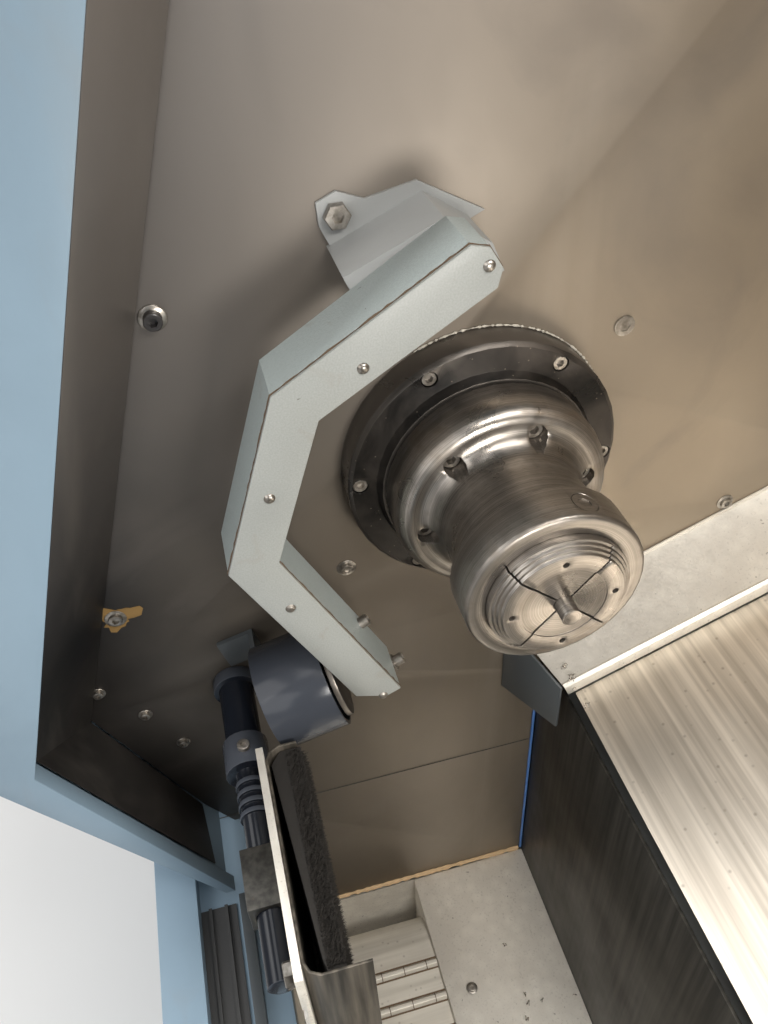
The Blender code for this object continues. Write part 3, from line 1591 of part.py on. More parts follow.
def catcher_plate():
    pivot = (0, CATCHER_Y, CATCHER_Z)
    y = CATCHER_PLATE_Y
    top = CATCHER_PLATE_TOP
    low = top - CATCHER_PLATE_DROP
    body = block("catcher_plate", (CATCHER_START, y - CATCHER_PLATE_THICKNESS, low), (CATCHER_END, y, top))
    bore = cylinder("plate_bore", 0, CATCHER_END + OVERRUN, RING_RADIUS + GAP, pivot[1:], 28)
    return link(cut(body, bore), BRIGHT_STEEL, pivot)


def catcher_chute():
    """The chute hangs beside the nose and swings up under the bar; its open side faces the spindle."""
    pivot = (0, CATCHER_Y, CATCHER_Z)
    half = CHUTE_SHEET / 2
    back = CATCHER_PLATE_Y + GAP + half
    left = CATCHER_START + half
    right = CATCHER_END - half
    corner = CHUTE_CORNER
    path = [
        (left, CHUTE_FAR_Y),
        (left, back + corner),
        (left + corner / 3, back + corner / 3),
        (left + corner, back),
        (right - corner, back),
        (right - corner / 3, back + corner / 3),
        (right, back + corner),
        (right, CHUTE_FRONT_Y),
    ]
    low = CHUTE_LOW_Z + half
    top = CATCHER_PLATE_TOP - CHUTE_SHEET
    ends = [("all", "first", low, [])]
    obj = folded("catcher_chute", path, LEVEL, low, top, CHUTE_SHEET, ends=ends)
    return link(obj, SATIN_STEEL, pivot)


def catcher_lining():
    """The bristle mat that lines the chute's back."""
    pivot = (0, CATCHER_Y, CATCHER_Z)
    left = CATCHER_START + CHUTE_SHEET + GAP
    right = CATCHER_END - CHUTE_SHEET - GAP
    outline = [
        (left, LINING_FRONT_Y),
        (left, CATCHER_PLATE_Y + CHUTE_CORNER + CHUTE_SHEET),
        (left + CHUTE_CORNER, LINING_FAR_Y),
        (right - CHUTE_CORNER, LINING_NEAR_Y),
        (right, LINING_NEAR_Y + CHUTE_SHEET),
        (right, LINING_FRONT_Y),
    ]
    low = CHUTE_LOW_Z + CHUTE_SHEET + GAP
    return link(extruded("catcher_lining", [outline], LEVEL, low, LINING_TOP_Z), BRISTLE, pivot)


# Door


def door_frame():
    low = SILL_Z - TRACK_DEPTH + SHEET / 2 + GAP * 2 + RAIL_HEIGHT
    high = TOP_Z - SHEET - DOOR_CLEARANCE
    outer = front_outline(0, low, high)
    inner = front_outline(DOOR_THICKNESS, low, high)
    start = DOOR_CLOSED + DOOR_OPEN_TRAVEL
    body = extruded("door_frame", [outer + inner[::-1]], SIDEWAYS, start, start + DOOR_WIDTH)
    cut(body, window_block("window_opening", 0, -OVERRUN * 2, DOOR_THICKNESS + OVERRUN * 2))
    return link(body, GREY_PAINT)


def window_block(name, margin, low, high):
    """A slab along the door's upper face, as wide and high as the window less a margin."""
    start = DOOR_CLOSED + DOOR_OPEN_TRAVEL

    def row(inset):
        return [
            (upper_front(z, inset), z)
            for z in (WINDOW_LOW_Z + margin, WINDOW_HIGH_Z - margin)
        ]

    first = row(low)
    second = row(high)
    return extruded(
        name,
        [first + second[::-1]],
        SIDEWAYS,
        start + WINDOW_MARGIN_X + margin,
        start + DOOR_WIDTH - WINDOW_MARGIN_X - margin,
    )


def door_window():
    middle = (DOOR_THICKNESS - WINDOW_THICKNESS) / 2
    return link(window_block("door_window", GAP, middle, middle + WINDOW_THICKNESS), DARK_GLASS)


def door_handle():
    """A bow handle on two posts near the door's leading edge."""
    x = DOOR_CLOSED + DOOR_OPEN_TRAVEL + HANDLE_INSET
    curve = bpy.data.curves.new("door_handle", "CURVE")
    curve.dimensions = "3D"
    curve.bevel_depth = HANDLE_RADIUS
    curve.bevel_resolution = 3
    curve.use_fill_caps = True
    places = []
    for z, out in (
        (HANDLE_LOW_Z, -GAP),
        (HANDLE_LOW_Z, -HANDLE_STAND + HANDLE_RADIUS),
        (HANDLE_LOW_Z + HANDLE_RADIUS, -HANDLE_STAND),
        (HANDLE_HIGH_Z - HANDLE_RADIUS, -HANDLE_STAND),
        (HANDLE_HIGH_Z, -HANDLE_STAND + HANDLE_RADIUS),
        (HANDLE_HIGH_Z, -GAP),
    ):
        slant = 1 / math.hypot(1, UPPER_LEAN)
        foot = Vector((x, upper_front(z), z))
        places.append(foot + Vector((0, slant, -UPPER_LEAN * slant)) * out)
    spline = curve.splines.new("POLY")
    spline.points.add(len(places) - 1)
    for point, place in zip(spline.points, places):
        point.co = (*place, 1)
    drawn = bpy.data.objects.new("handle_line", curve)
    bpy.context.scene.collection.objects.link(drawn)
    graph = bpy.context.evaluated_depsgraph_get()
    mesh = bpy.data.meshes.new_from_object(drawn.evaluated_get(graph))
    bpy.data.objects.remove(drawn)
    work = bmesh.new()
    work.from_mesh(mesh)
    bmesh.ops.remove_doubles(work, verts=work.verts, dist=GAP / 30)
    body = mesh_from("door_handle", work)
    return link(smooth(body), DARK_PAINT)


# Carriage and turret


def carriage():
    low = CARRIAGE_LOW_N
    high = BED_N + GUIDE_HEIGHT + GAP * 2
    outline = [(CARRIAGE_FRONT_U, low)]
    for u in (LOWER_RAIL_U, UPPER_RAIL_U):
        outline += [
            (u - GAP, low),
            (u - GAP, high),
            (u + RAIL_WIDTH + GAP, high),
            (u + RAIL_WIDTH + GAP, low),
        ]
    outline += [(CARRIAGE_BACK_U, low), (CARRIAGE_BACK_U, CARRIAGE_TOP_N), (CARRIAGE_FRONT_U, CARRIAGE_TOP_N)]
    end = CARRIAGE_START + CARRIAGE_LENGTH
    rings = [outline, circle((SCREW_U, SCREW_N), SCREW_RADIUS + GAP * 2, 24)]
    return link(extruded("carriage", rings, SLOPING, CARRIAGE_START, end), CASTING_PAINT)


def cross_slide():
    """The slide and the turret's housing, cast in one, with the neck that carries the disc."""
    low = CARRIAGE_TOP_N + GAP
    half = SLIDE_LENGTH / 2
    arc = [
        (TURRET_U + TURRET_HOUSING * math.cos(math.pi * i / 12), TURRET_HOUSING * math.sin(math.pi * i / 12))
        for i in range(13)
    ]
    outline = [
        (TURRET_U - half, low),
        (TURRET_U + half, low),
        (TURRET_U + half, low + SLIDE_BASE),
        *arc,
        (TURRET_U - half, low + SLIDE_BASE),
    ]
    start = CARRIAGE_START + SLIDE_MARGIN
    end = CARRIAGE_START + CARRIAGE_LENGTH - SLIDE_MARGIN
    body = extruded("cross_slide", [outline], SLOPING, start, end)
    centre = slope_point(TURRET_U, 0)
    joined(body, cylinder("turret_neck", start - TURRET_NECK_LENGTH, start + OVERRUN, TURRET_NECK, centre, 32))
    return link(body, CASTING_PAINT)


def turret_disc():
    centre = slope_point(TURRET_U, 0)
    high = CARRIAGE_START + SLIDE_MARGIN - TURRET_NECK_LENGTH - GAP
    low = high - TURRET_WIDTH
    count = TURRET_STATIONS
    outline = [
        tuple(Vector(centre) + along(BED_SLOPE + math.tau * (i + 0.5) / count, TURRET_DISC)) for i in range(count)
    ]
    body = extruded("turret_disc", [outline], SIDEWAYS, low, high)
    hub = cylinder("turret_hub", low - TURRET_HUB_DEPTH, low + OVERRUN, TURRET_HUB, centre, 24)
    joined(body, hub)
    flat = TURRET_DISC * math.cos(math.pi / count)
    for i in range(count):
        tool = block(
            f"tool_{i}",
            (low + TOOL_SEAT, flat - TOOL_SEAT, -TOOL_WIDTH / 2),
            (high - TOOL_SEAT, flat + TOOL_REACH, TOOL_WIDTH / 2),
        )
        turn = Matrix.Rotation(BED_SLOPE + math.tau * i / count, 4, "X")
        tool.data.transform(Matrix.Translation((0, *centre)) @ turn)
        joined(body, tool)
    return link(body, BLACK_STEEL, (0, *centre))


# Control panel


def control_arm():
    """A bracket on the roof with a post that hangs in front of the machine."""
    low = TOP_Z + GAP
    high = low + PANEL_ARM_THICKNESS
    body = block(
        "control_arm",
        (PANEL_X - PANEL_ARM_HALF, PANEL_POST_Y - PANEL_ARM_HALF, low),
        (PANEL_X + PANEL_ARM_HALF, PANEL_ARM_BACK_Y, high),
    )
    place = Matrix.Translation((PANEL_X, PANEL_POST_Y, 0))
    end = low - PANEL_POST_DROP
    profile = [(low + OVERRUN, 0), (low + OVERRUN, PANEL_POST), (end, PANEL_POST), (end, 0)]
    joined(body, turned("control_post", profile, steps=24, turn=place))
    return link(body, GREY_PAINT)


def panel_box():
    """The lowest and highest corners of the control panel's housing."""
    high = TOP_Z - PANEL_POST_DROP
    return (
        (PANEL_X - PANEL_WIDTH / 2, PANEL_POST_Y - PANEL_POST - PANEL_DEPTH / 2, high - PANEL_HEIGHT),
        (PANEL_X + PANEL_WIDTH / 2, PANEL_POST_Y - PANEL_POST + PANEL_DEPTH / 2, high),
    )


def control_housing():
    low, high = panel_box()
    body = block("control_housing", low, high)
    edge = body.modifiers.new("edges", "BEVEL")
    edge.width = PANEL_BEVEL
    edge.segments = 2
    seat = block(
        "screen_seat",
        (low[0] + SCREEN_MARGIN, low[1] - OVERRUN, high[2] - SCREEN_MARGIN - SCREEN_HEIGHT),
        (high[0] - SCREEN_MARGIN, low[1] + SCREEN_SEAT, high[2] - SCREEN_MARGIN),
    )
    cut(body, seat)
    for name, (x, z), radius in (("wheel_bore", wheel_place(), STOP_STEM), ("stop_bore", stop_place(), STOP_STEM)):
        cut(body, front_round(name, [(STOP_DEPTH, 0), (STOP_DEPTH, radius + GAP), (-OVERRUN, radius + GAP), (-OVERRUN, 0)], x, z))
    return link(body, GREY_PAINT, (PANEL_X, PANEL_POST_Y, 0))


def front_round(name, profile, x, z, steps=28):
    """A profile of (depth, radius) turned about a line into the panel's face."""
    face = panel_box()[0][1]
    turn = Matrix.Translation((x, face, z)) @ Matrix.Rotation(-math.pi / 2, 4, "X")
    return turned(name, profile, steps=steps, turn=turn)


def wheel_place():
    low, high = panel_box()
    return (high[0] - SCREEN_MARGIN - WHEEL_RADIUS, low[2] + SCREEN_MARGIN + WHEEL_RADIUS)


def stop_place():
    low, _ = panel_box()
    return (low[0] + SCREEN_MARGIN + WHEEL_RADIUS, low[2] + SCREEN_MARGIN + WHEEL_RADIUS)


def control_screen():
    low, high = panel_box()
    body = block(
        "control_screen",
        (low[0] + SCREEN_MARGIN + GAP, low[1] + GAP, high[2] - SCREEN_MARGIN - SCREEN_HEIGHT + GAP),
        (high[0] - SCREEN_MARGIN - GAP, low[1] + SCREEN_SEAT - GAP, high[2] - SCREEN_MARGIN - GAP),
    )
    return link(body, DARK_GLASS, (PANEL_X, PANEL_POST_Y, 0))


def handwheel():
    x, z = wheel_place()
    face = panel_box()[0][1]
    profile = [
        (STOP_DEPTH - GAP * 2, 0),
        (STOP_DEPTH - GAP * 2, STOP_STEM),
        (-GAP * 2, STOP_STEM),
        (-GAP * 2, WHEEL_RADIUS),
        (-WHEEL_DEPTH, WHEEL_RADIUS - WHEEL_KNOB / 2),
        (-WHEEL_DEPTH, 0),
    ]
    return link(front_round("jog_handwheel", profile, x, z), BELT_RUBBER, (x, face, z))


def emergency_stop():
    x, z = stop_place()
    face = panel_box()[0][1]
    gap = BUTTON_TRAVEL + GAP * 2
    profile = [
        (STOP_DEPTH - gap, 0),
        (STOP_DEPTH - gap, STOP_STEM),
        (-gap, STOP_STEM),
        (-gap, STOP_RADIUS),
        (-gap - STOP_DEPTH / 2, STOP_RADIUS),
        (-gap - STOP_DEPTH, STOP_RADIUS / 2),
        (-gap - STOP_DEPTH, 0),
    ]
    return link(front_round("emergency_stop", profile, x, z), RED_PLASTIC, (x, face, z))


base_casting()
headstock_wall()
jamb_frame()
wall_margin()
left_cabinet()
right_cabinet()
rear_cover()
front_panel()
door_track()
right_splash_wall()
rear_splash_wall()
chip_pan()
conveyor_belt()
bed_side_panel()
cover_sheet("way_cover_fixed", LEDGE_WIDTH + GAP, COVER_FIXED_END, COVER_N)
cover_sheet("way_cover_moving", COVER_MOVING_START, CARRIAGE_START - GAP, COVER_N + COVER_SHEET + GAP)
cover_sheet("way_cover_right", CARRIAGE_START + CARRIAGE_LENGTH + GAP, COVER_RIGHT_END, COVER_N)
ledge_cover()
ledge_end()
guide_rail("lower_rail", LOWER_RAIL_U)
guide_rail("upper_rail", UPPER_RAIL_U)
headstock_casting()
bearings()
bearing_flange()
spindle_shaft()
collet_nose()
collet()
draw_tube()
bar_stock()
drive_pulleys()
drive_belt()
spindle_motor()
feed_drive()
presetter_bracket()
presetter_shaft()
presetter_arm()
presetter_cover()
probe_cup()
cup_bracket()
presetter_probe()
catcher_bearing()
catcher_shaft()
catcher_block()
catcher_plate()
catcher_chute()
catcher_lining()
door_frame()
door_window()
door_handle()
carriage()
cross_slide()
turret_disc()
control_arm()
control_housing()
control_screen()
handwheel()
emergency_stop()
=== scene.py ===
import math
import random

import bmesh
import bpy
from mathutils import Matrix, Vector


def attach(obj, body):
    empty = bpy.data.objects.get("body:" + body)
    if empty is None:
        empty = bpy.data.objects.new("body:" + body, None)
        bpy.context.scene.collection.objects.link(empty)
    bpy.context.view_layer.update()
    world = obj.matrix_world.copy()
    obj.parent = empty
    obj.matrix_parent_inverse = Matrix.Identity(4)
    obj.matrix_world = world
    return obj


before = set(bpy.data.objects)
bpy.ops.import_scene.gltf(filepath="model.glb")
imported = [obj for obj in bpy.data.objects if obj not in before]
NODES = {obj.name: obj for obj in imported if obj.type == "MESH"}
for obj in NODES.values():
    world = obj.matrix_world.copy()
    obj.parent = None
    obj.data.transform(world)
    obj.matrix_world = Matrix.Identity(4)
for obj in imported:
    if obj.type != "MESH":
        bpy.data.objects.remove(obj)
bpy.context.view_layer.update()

# The spindle axis at the wall's face; detail is placed from here
ORIGIN = Vector((-0.40, -0.04795, 1.05))
X = Vector((1, 0, 0))
BED_LEAN = math.radians(23)
# The presetter arm's lower leg leans by this much, and its side faces this way
LEG_LEAN = math.radians(25.6)
LEG_SIDE = (0, math.cos(LEG_LEAN), math.sin(LEG_LEAN))
# Corners sharper than this stay sharp in the shading
SHARP = math.radians(34)
BEVEL_WIDTH = 0.0006


# Materials


class Paint:
    """A Principled material whose colour, roughness and bump come from noise in object space."""

    def __init__(self, name, metallic=0.0, roughness=0.5):
        self.material = bpy.data.materials.new(name)
        self.material.use_nodes = True
        self.tree = self.material.node_tree
        self.shader = self.tree.nodes["Principled BSDF"]
        self.shader.inputs["Metallic"].default_value = metallic
        self.shader.inputs["Roughness"].default_value = roughness
        self.place = self.add("ShaderNodeTexCoord").outputs["Object"]

    def add(self, kind, **inputs):
        node = self.tree.nodes.new(kind)
        for key, value in inputs.items():
            self.put(node.inputs[key.replace("_", " ")], value)
        return node

    def put(self, socket, value):
        if isinstance(value, bpy.types.NodeSocket):
            self.tree.links.new(value, socket)
        else:
            socket.default_value = value

    def stretched(self, scale):
        node = self.add("ShaderNodeMapping", Scale=scale)
        self.put(node.inputs["Vector"], self.place)
        return node.outputs["Vector"]

    def noise(self, scale, detail=4, stretch=(1, 1, 1), warp=0.0, vector=None):
        vector = vector or self.stretched(stretch)
        node = self.add("ShaderNodeTexNoise", Scale=scale, Detail=detail, Roughness=0.55, Distortion=warp)
        self.put(node.inputs["Vector"], vector)
        return node.outputs["Fac"]

    def spots(self, scale):
        node = self.add("ShaderNodeTexVoronoi", Scale=scale)
        self.put(node.inputs["Vector"], self.place)
        return node.outputs["Distance"]

    def ramp(self, value, low, high, start=0.0, end=1.0):
        node = self.add("ShaderNodeMapRange", From_Min=low, From_Max=high, To_Min=start, To_Max=end)
        node.clamp = True
        self.put(node.inputs["Value"], value)
        return node.outputs["Result"]

    def mix(self, share, first, second):
        node = self.tree.nodes.new("ShaderNodeMix")
        node.data_type = "RGBA"
        self.put(node.inputs["Factor"], share)
        self.put(node.inputs[6], (*first, 1) if isinstance(first, tuple) else first)
        self.put(node.inputs[7], (*second, 1) if isinstance(second, tuple) else second)
        return node.outputs[2]

    def maths(self, operation, first, second=0.0):
        node = self.tree.nodes.new("ShaderNodeMath")
        node.operation = operation
        self.put(node.inputs[0], first)
        self.put(node.inputs[1], second)
        return node.outputs[0]

    def part(self, axis):
        node = self.add("ShaderNodeSeparateXYZ")
        self.put(node.inputs[0], self.place)
        return node.outputs[axis]

    def edges(self, low=0.52, high=0.60):
        """Worn edges, where the surface turns sharply outwards; on the gloss black this mask carries a
        painted rim highlight.
        """
        return self.ramp(self.add("ShaderNodeNewGeometry").outputs["Pointiness"], low, high)

    def finish(self, colour, roughness=None, bump=None, strength=0.2, distance=0.0004):
        self.put(self.shader.inputs["Base Color"], colour)
        if roughness is not None:
            self.put(self.shader.inputs["Roughness"], roughness)
        if bump is not None:
            node = self.add("ShaderNodeBump", Strength=strength, Distance=distance)
            self.put(node.inputs["Height"], bump)
            self.put(self.shader.inputs["Normal"], node.outputs["Normal"])
        return self.material


def satin_steel():
    p = Paint("satin_steel", 0.62, 0.46)
    broad = p.noise(3.2, 5, warp=0.6)
    drips = p.noise(14, 4, (1, 1, 0.12), warp=0.4)
    grain = p.noise(260, 2, (1, 1, 0.25))
    # Painted shade: the wall's left side darkens to near black towards the bottom, then blends into a brown
    # tone towards the right.
    high = p.ramp(p.part("Z"), ORIGIN.z - 0.08, ORIGIN.z + 0.42)
    across = p.ramp(p.part("Y"), ORIGIN.y - 0.32, ORIGIN.y + 0.22)
    painted_shade_left = p.mix(high, (0.012, 0.013, 0.015), (0.235, 0.23, 0.235))
    colour = p.mix(across, painted_shade_left, (0.31, 0.255, 0.19))
    colour = p.mix(p.ramp(broad, 0.42, 0.66, 0.0, 0.22), colour, (0.20, 0.17, 0.14))
    colour = p.mix(p.ramp(drips, 0.58, 0.78, 0.0, 0.16), colour, (0.42, 0.38, 0.33))
    smudge = p.ramp(p.noise(7, 6, warp=1.2), 0.54, 0.76, 0.0, 0.35)
    colour = p.mix(smudge, colour, (0.15, 0.13, 0.115))
    nicks = p.ramp(p.noise(60, 3, (1, 0.3, 1), warp=0.3), 0.77, 0.79, 0.0, 0.6)
    colour = p.mix(nicks, colour, (0.07, 0.06, 0.055))
    rough = p.ramp(p.noise(9, 6, (1, 1, 0.6), warp=0.8), 0.3, 0.7, 0.40, 0.56)
    return p.finish(colour, rough, p.maths("ADD", p.maths("MULTIPLY", grain, 0.3), broad), 0.12)


def brushed(name, base, dark, stretch=(0.02, 1, 1), metallic=0.9, low=0.22, high=0.46):
    p = Paint(name, metallic, 0.32)
    streaks = p.noise(160, 3, stretch)
    broad = p.noise(5, 5, (0.5, 1, 1), warp=0.5)
    colour = p.mix(p.ramp(streaks, 0.35, 0.68), dark, base)
    colour = p.mix(p.ramp(broad, 0.45, 0.7, 0.0, 0.45), colour, tuple(c * 0.55 for c in dark))
    speck = p.ramp(p.spots(90), 0.05, 0.16, 0.35, 0.0)
    colour = p.mix(speck, colour, (0.10, 0.08, 0.06))
    rough = p.ramp(p.noise(12, 5), 0.3, 0.7, low, high)
    return p.finish(colour, rough, streaks, 0.10, 0.0002)


def turned():
    p = Paint("turned_steel", 0.95, 0.2)
    parts = p.add("ShaderNodeSeparateXYZ")
    p.put(parts.inputs[0], p.place)
    y = p.maths("SUBTRACT", parts.outputs["Y"], ORIGIN.y)
    z = p.maths("SUBTRACT", parts.outputs["Z"], ORIGIN.z)
    radius = p.maths("SQRT", p.maths("ADD", p.maths("MULTIPLY", y, y), p.maths("MULTIPLY", z, z)))
    joined = p.add("ShaderNodeCombineXYZ")
    p.put(joined.inputs[0], parts.outputs["X"])
    p.put(joined.inputs[1], radius)
    rings = p.noise(1500, 2, vector=joined.outputs[0])
    wide = p.noise(170, 2, vector=joined.outputs[0])
    stain = p.noise(22, 6, warp=0.9)
    colour = p.mix(p.ramp(rings, 0.3, 0.7), (0.20, 0.18, 0.16), (0.38, 0.35, 0.315))
    colour = p.mix(p.ramp(wide, 0.45, 0.7, 0.0, 0.5), colour, (0.14, 0.125, 0.11))
    colour = p.mix(p.ramp(stain, 0.54, 0.72, 0.0, 0.6), colour, (0.16, 0.12, 0.08))
    rough = p.ramp(stain, 0.35, 0.7, 0.26, 0.48)
    return p.finish(colour, rough, rings, 0.16, 0.0001)


def black_steel():
    p = Paint("blackened_steel", 0.65, 0.3)
    broad = p.noise(18, 6, warp=0.7)
    colour = p.mix(p.ramp(broad, 0.4, 0.72), (0.013, 0.012, 0.011), (0.065, 0.055, 0.047))
    colour = p.mix(p.edges(), colour, (0.36, 0.32, 0.28))
    speck = p.ramp(p.spots(160), 0.04, 0.12, 0.5, 0.0)
    colour = p.mix(speck, colour, (0.30, 0.25, 0.20))
    return p.finish(colour, p.ramp(broad, 0.3, 0.7, 0.22, 0.48), p.noise(220, 3), 0.10, 0.0002)


def galvanised():
    p = Paint("galvanised_steel", 0.55, 0.42)
    cells = p.spots(70)
    fine = p.noise(420, 3)
    colour = p.mix(p.ramp(cells, 0.0, 0.6), (0.80, 0.765, 0.69), (0.70, 0.665, 0.60))
    colour = p.mix(p.ramp(fine, 0.58, 0.72, 0.0, 0.35), colour, (0.30, 0.27, 0.23))
    colour = p.mix(p.ramp(p.noise(6, 6, warp=0.8), 0.5, 0.75, 0.0, 0.45), colour, (0.38, 0.34, 0.29))
    pits = p.ramp(p.noise(150, 2), 0.72, 0.76, 0.0, 0.6)
    colour = p.mix(pits, colour, (0.12, 0.10, 0.08))
    return p.finish(colour, p.ramp(fine, 0.3, 0.7, 0.34, 0.60), fine, 0.25, 0.0003)


def paint(name, base, dirt=(0.20, 0.18, 0.15), roughness=0.42, bump_scale=300, strength=0.1, edge_wear_and_sheen=None):
    p = Paint(name, 0.0, roughness)
    broad = p.noise(4, 6, warp=0.8)
    colour = p.mix(p.ramp(broad, 0.35, 0.7), base, tuple(c * 0.82 for c in base))
    grime = p.ramp(p.noise(16, 7, (1, 1, 0.35), warp=1.0), 0.58, 0.80, 0.0, 0.40)
    colour = p.mix(grime, colour, dirt)
    # Edges take a lighter colour: wear on most paints, a painted rim highlight on the gloss black.
    colour = p.mix(p.edges(0.54, 0.64), colour, edge_wear_and_sheen or tuple(min(1, c * 1.35) for c in base))
    texture = p.noise(bump_scale, 3)
    return p.finish(colour, p.ramp(broad, 0.3, 0.7, roughness - 0.08, roughness + 0.12), texture, strength)


def powder_coat(name, base, strength):
    p = Paint(name, 0.0, 0.45)
    lumps = p.noise(900, 2)
    broad = p.noise(9, 6, warp=0.7)
    colour = p.mix(p.ramp(lumps, 0.35, 0.65), tuple(c * 0.88 for c in base), base)
    colour = p.mix(p.ramp(broad, 0.50, 0.78, 0.0, 0.35), colour, tuple(c * 0.62 for c in base))
    grime = p.ramp(p.noise(40, 6, warp=0.9), 0.62, 0.74, 0.0, 0.5)
    colour = p.mix(grime, colour, (0.22, 0.20, 0.17))
    chips = p.ramp(p.noise(110, 4, warp=0.5), 0.74, 0.765, 0.0, 0.85)
    colour = p.mix(chips, colour, (0.07, 0.06, 0.05))
    return p.finish(colour, p.ramp(broad, 0.3, 0.7, 0.34, 0.5), lumps, strength, 0.0005)


def glass():
    p = Paint("window_glass", 0.0, 0.08)
    smears = p.noise(6, 6, (1, 1, 0.4), warp=0.8)
    colour = p.mix(p.ramp(smears, 0.4, 0.7), (0.10, 0.12, 0.13), (0.20, 0.22, 0.22))
    p.shader.inputs["Transmission Weight"].default_value = 0.35
    return p.finish(colour, p.ramp(smears, 0.3, 0.7, 0.05, 0.22), smears, 0.02)


SATIN = satin_steel()
BRUSHED = brushed(
    "brushed_steel", (0.72, 0.655, 0.565), (0.47, 0.42, 0.355), metallic=0.7, low=0.34, high=0.52
)
BELT = brushed("belt_steel", (0.78, 0.74, 0.66), (0.60, 0.56, 0.49), (1, 0.03, 1), 0.4, 0.35, 0.55)
TURNED = turned()
BLACK = black_steel()
GALVANISED = galvanised()
# Painted light: the blue cast of this grey paint stands in for daylight falling on it.
PAINT = paint("grey_paint", (0.205, 0.285, 0.355))
CASTING = paint("casting_paint", (0.40, 0.42, 0.41), roughness=0.55, bump_scale=120, strength=0.3)
IRON = paint("cast_iron", (0.13, 0.13, 0.13), (0.10, 0.06, 0.03), 0.55, 180, 0.4)
DARK = paint("dark_paint", (0.055, 0.062, 0.066), (0.14, 0.12, 0.10), 0.38)
# Painted light: the arm's coat is tinted blue for the daylight on its face.
COAT = powder_coat("textured_coat", (0.32, 0.36, 0.355), 0.7)
COVER_COAT = powder_coat("smooth_coat", (0.275, 0.285, 0.270), 0.10)
# Painted highlight: the gloss black's light bluish edge colour stands in for glints along its rims.
GLOSS = paint("gloss_black", (0.010, 0.012, 0.017), (0.05, 0.045, 0.04), 0.14, 60, 0.03, (0.22, 0.24, 0.28))
BRISTLE = paint("bristle", (0.010, 0.008, 0.006), (0.035, 0.028, 0.020), 0.8, 900, 0.8)
RUBBER = paint("belt_rubber", (0.025, 0.025, 0.025), (0.10, 0.09, 0.08), 0.75, 500, 0.3)
GLASS = glass()
RED = paint("red_plastic", (0.55, 0.02, 0.015), (0.20, 0.02, 0.02), 0.32)
SCREW = brushed("screw_steel", (0.46, 0.43, 0.39), (0.20, 0.18, 0.155), (1, 1, 1), 0.9, 0.25, 0.5)
SOCKET = paint("screw_black", (0.030, 0.028, 0.028), (0.14, 0.11, 0.08), 0.35, 400, 0.2)
SHADED = brushed("shaded_steel", (0.085, 0.080, 0.070), (0.040, 0.038, 0.034), (1, 1, 0.03), 0.6, 0.35, 0.55)
BRACKET = paint("bracket_coat", (0.27, 0.275, 0.27), (0.16, 0.14, 0.12), 0.40, 400, 0.15)
CHUTE = brushed("chute_steel", (0.15, 0.13, 0.105), (0.045, 0.040, 0.033), (1, 1, 0.05), 0.6, 0.35, 0.6)
SEALANT = paint("sealant", (0.44, 0.41, 0.35), (0.25, 0.18, 0.11), 0.8, 350, 0.9)
RUST = paint("tan_line", (0.50, 0.35, 0.20), (0.24, 0.14, 0.07), 0.85, 260, 0.9)
# Dark brown for the cover's seam line, and painted shadow at the belt's hinges.
DARK_RUST_AND_SHADE = paint("dark_rust_and_shadow", (0.085, 0.055, 0.032), (0.03, 0.02, 0.015), 0.85, 400, 0.6)
BLUE = paint("blue_seal", (0.055, 0.16, 0.42), (0.05, 0.06, 0.09), 0.45, 300, 0.3)
AMBER = paint("amber_stain", (0.19, 0.11, 0.030), (0.09, 0.05, 0.02), 0.6, 300, 0.4, (0.22, 0.13, 0.04))
SWARF = brushed("swarf", (0.62, 0.58, 0.52), (0.30, 0.26, 0.22), (1, 1, 1), 0.95, 0.2, 0.4)
GLOSS.node_tree.nodes["Principled BSDF"].inputs["Specular IOR Level"].default_value = 0.22

FINISHES = {
    SATIN: "headstock_wall wall_margin right_splash_wall rear_splash_wall",
    SHADED: "bed_side_panel catcher_block",
    BRACKET: "presetter_bracket",
    CHUTE: "catcher_chute",
    BRUSHED: "way_cover_fixed way_cover_moving way_cover_right lower_rail upper_rail",
    BELT: "conveyor_belt",
    TURNED: "front_bearing rear_bearing spindle_shaft collet_nose collet draw_tube ball_screw bar_stock",
    BLACK: "bearing_flange presetter_shaft presetter_probe turret_disc",
    GALVANISED: "chip_pan ledge_cover catcher_plate",
    PAINT: (
        "jamb_frame left_cabinet right_cabinet rear_cover front_panel door_frame "
        "control_arm control_housing"
    ),
    DARK: "door_track ledge_end cup_bracket feed_motor door_handle",
    CASTING: "base_casting headstock_casting carriage cross_slide",
    IRON: "spindle_pulley motor_pulley spindle_motor",
    COAT: "presetter_arm",
    COVER_COAT: "presetter_cover",
    GLOSS: "probe_cup catcher_bearing catcher_shaft",
    BRISTLE: "catcher_lining",
    RUBBER: "drive_belt jog_handwheel",
    GLASS: "door_window control_screen",
    RED: "emergency_stop",
}


def dress_nodes():
    """Every CAD node gets its material, softened edges and shading by angle."""
    for finish, names in FINISHES.items():
        for name in names.split():
            node = NODES[name]
            node.data.materials.clear()
            node.data.materials.append(finish)
            custom = node.data.attributes.get("custom_normal")
            if custom:
                node.data.attributes.remove(custom)
            node.data.polygons.foreach_set("use_smooth", [True] * len(node.data.polygons))
            weld = node.modifiers.new("weld", "WELD")
            weld.merge_threshold = 0.00001
            edge = node.modifiers.new("edges", "BEVEL")
            edge.width = BEVEL_WIDTH
            edge.segments = 2
            edge.limit_method = "ANGLE"
            edge.angle_limit = math.radians(42)
            split = node.modifiers.new("sharp", "EDGE_SPLIT")
            split.split_angle = SHARP


dress_nodes()


# Detail made here


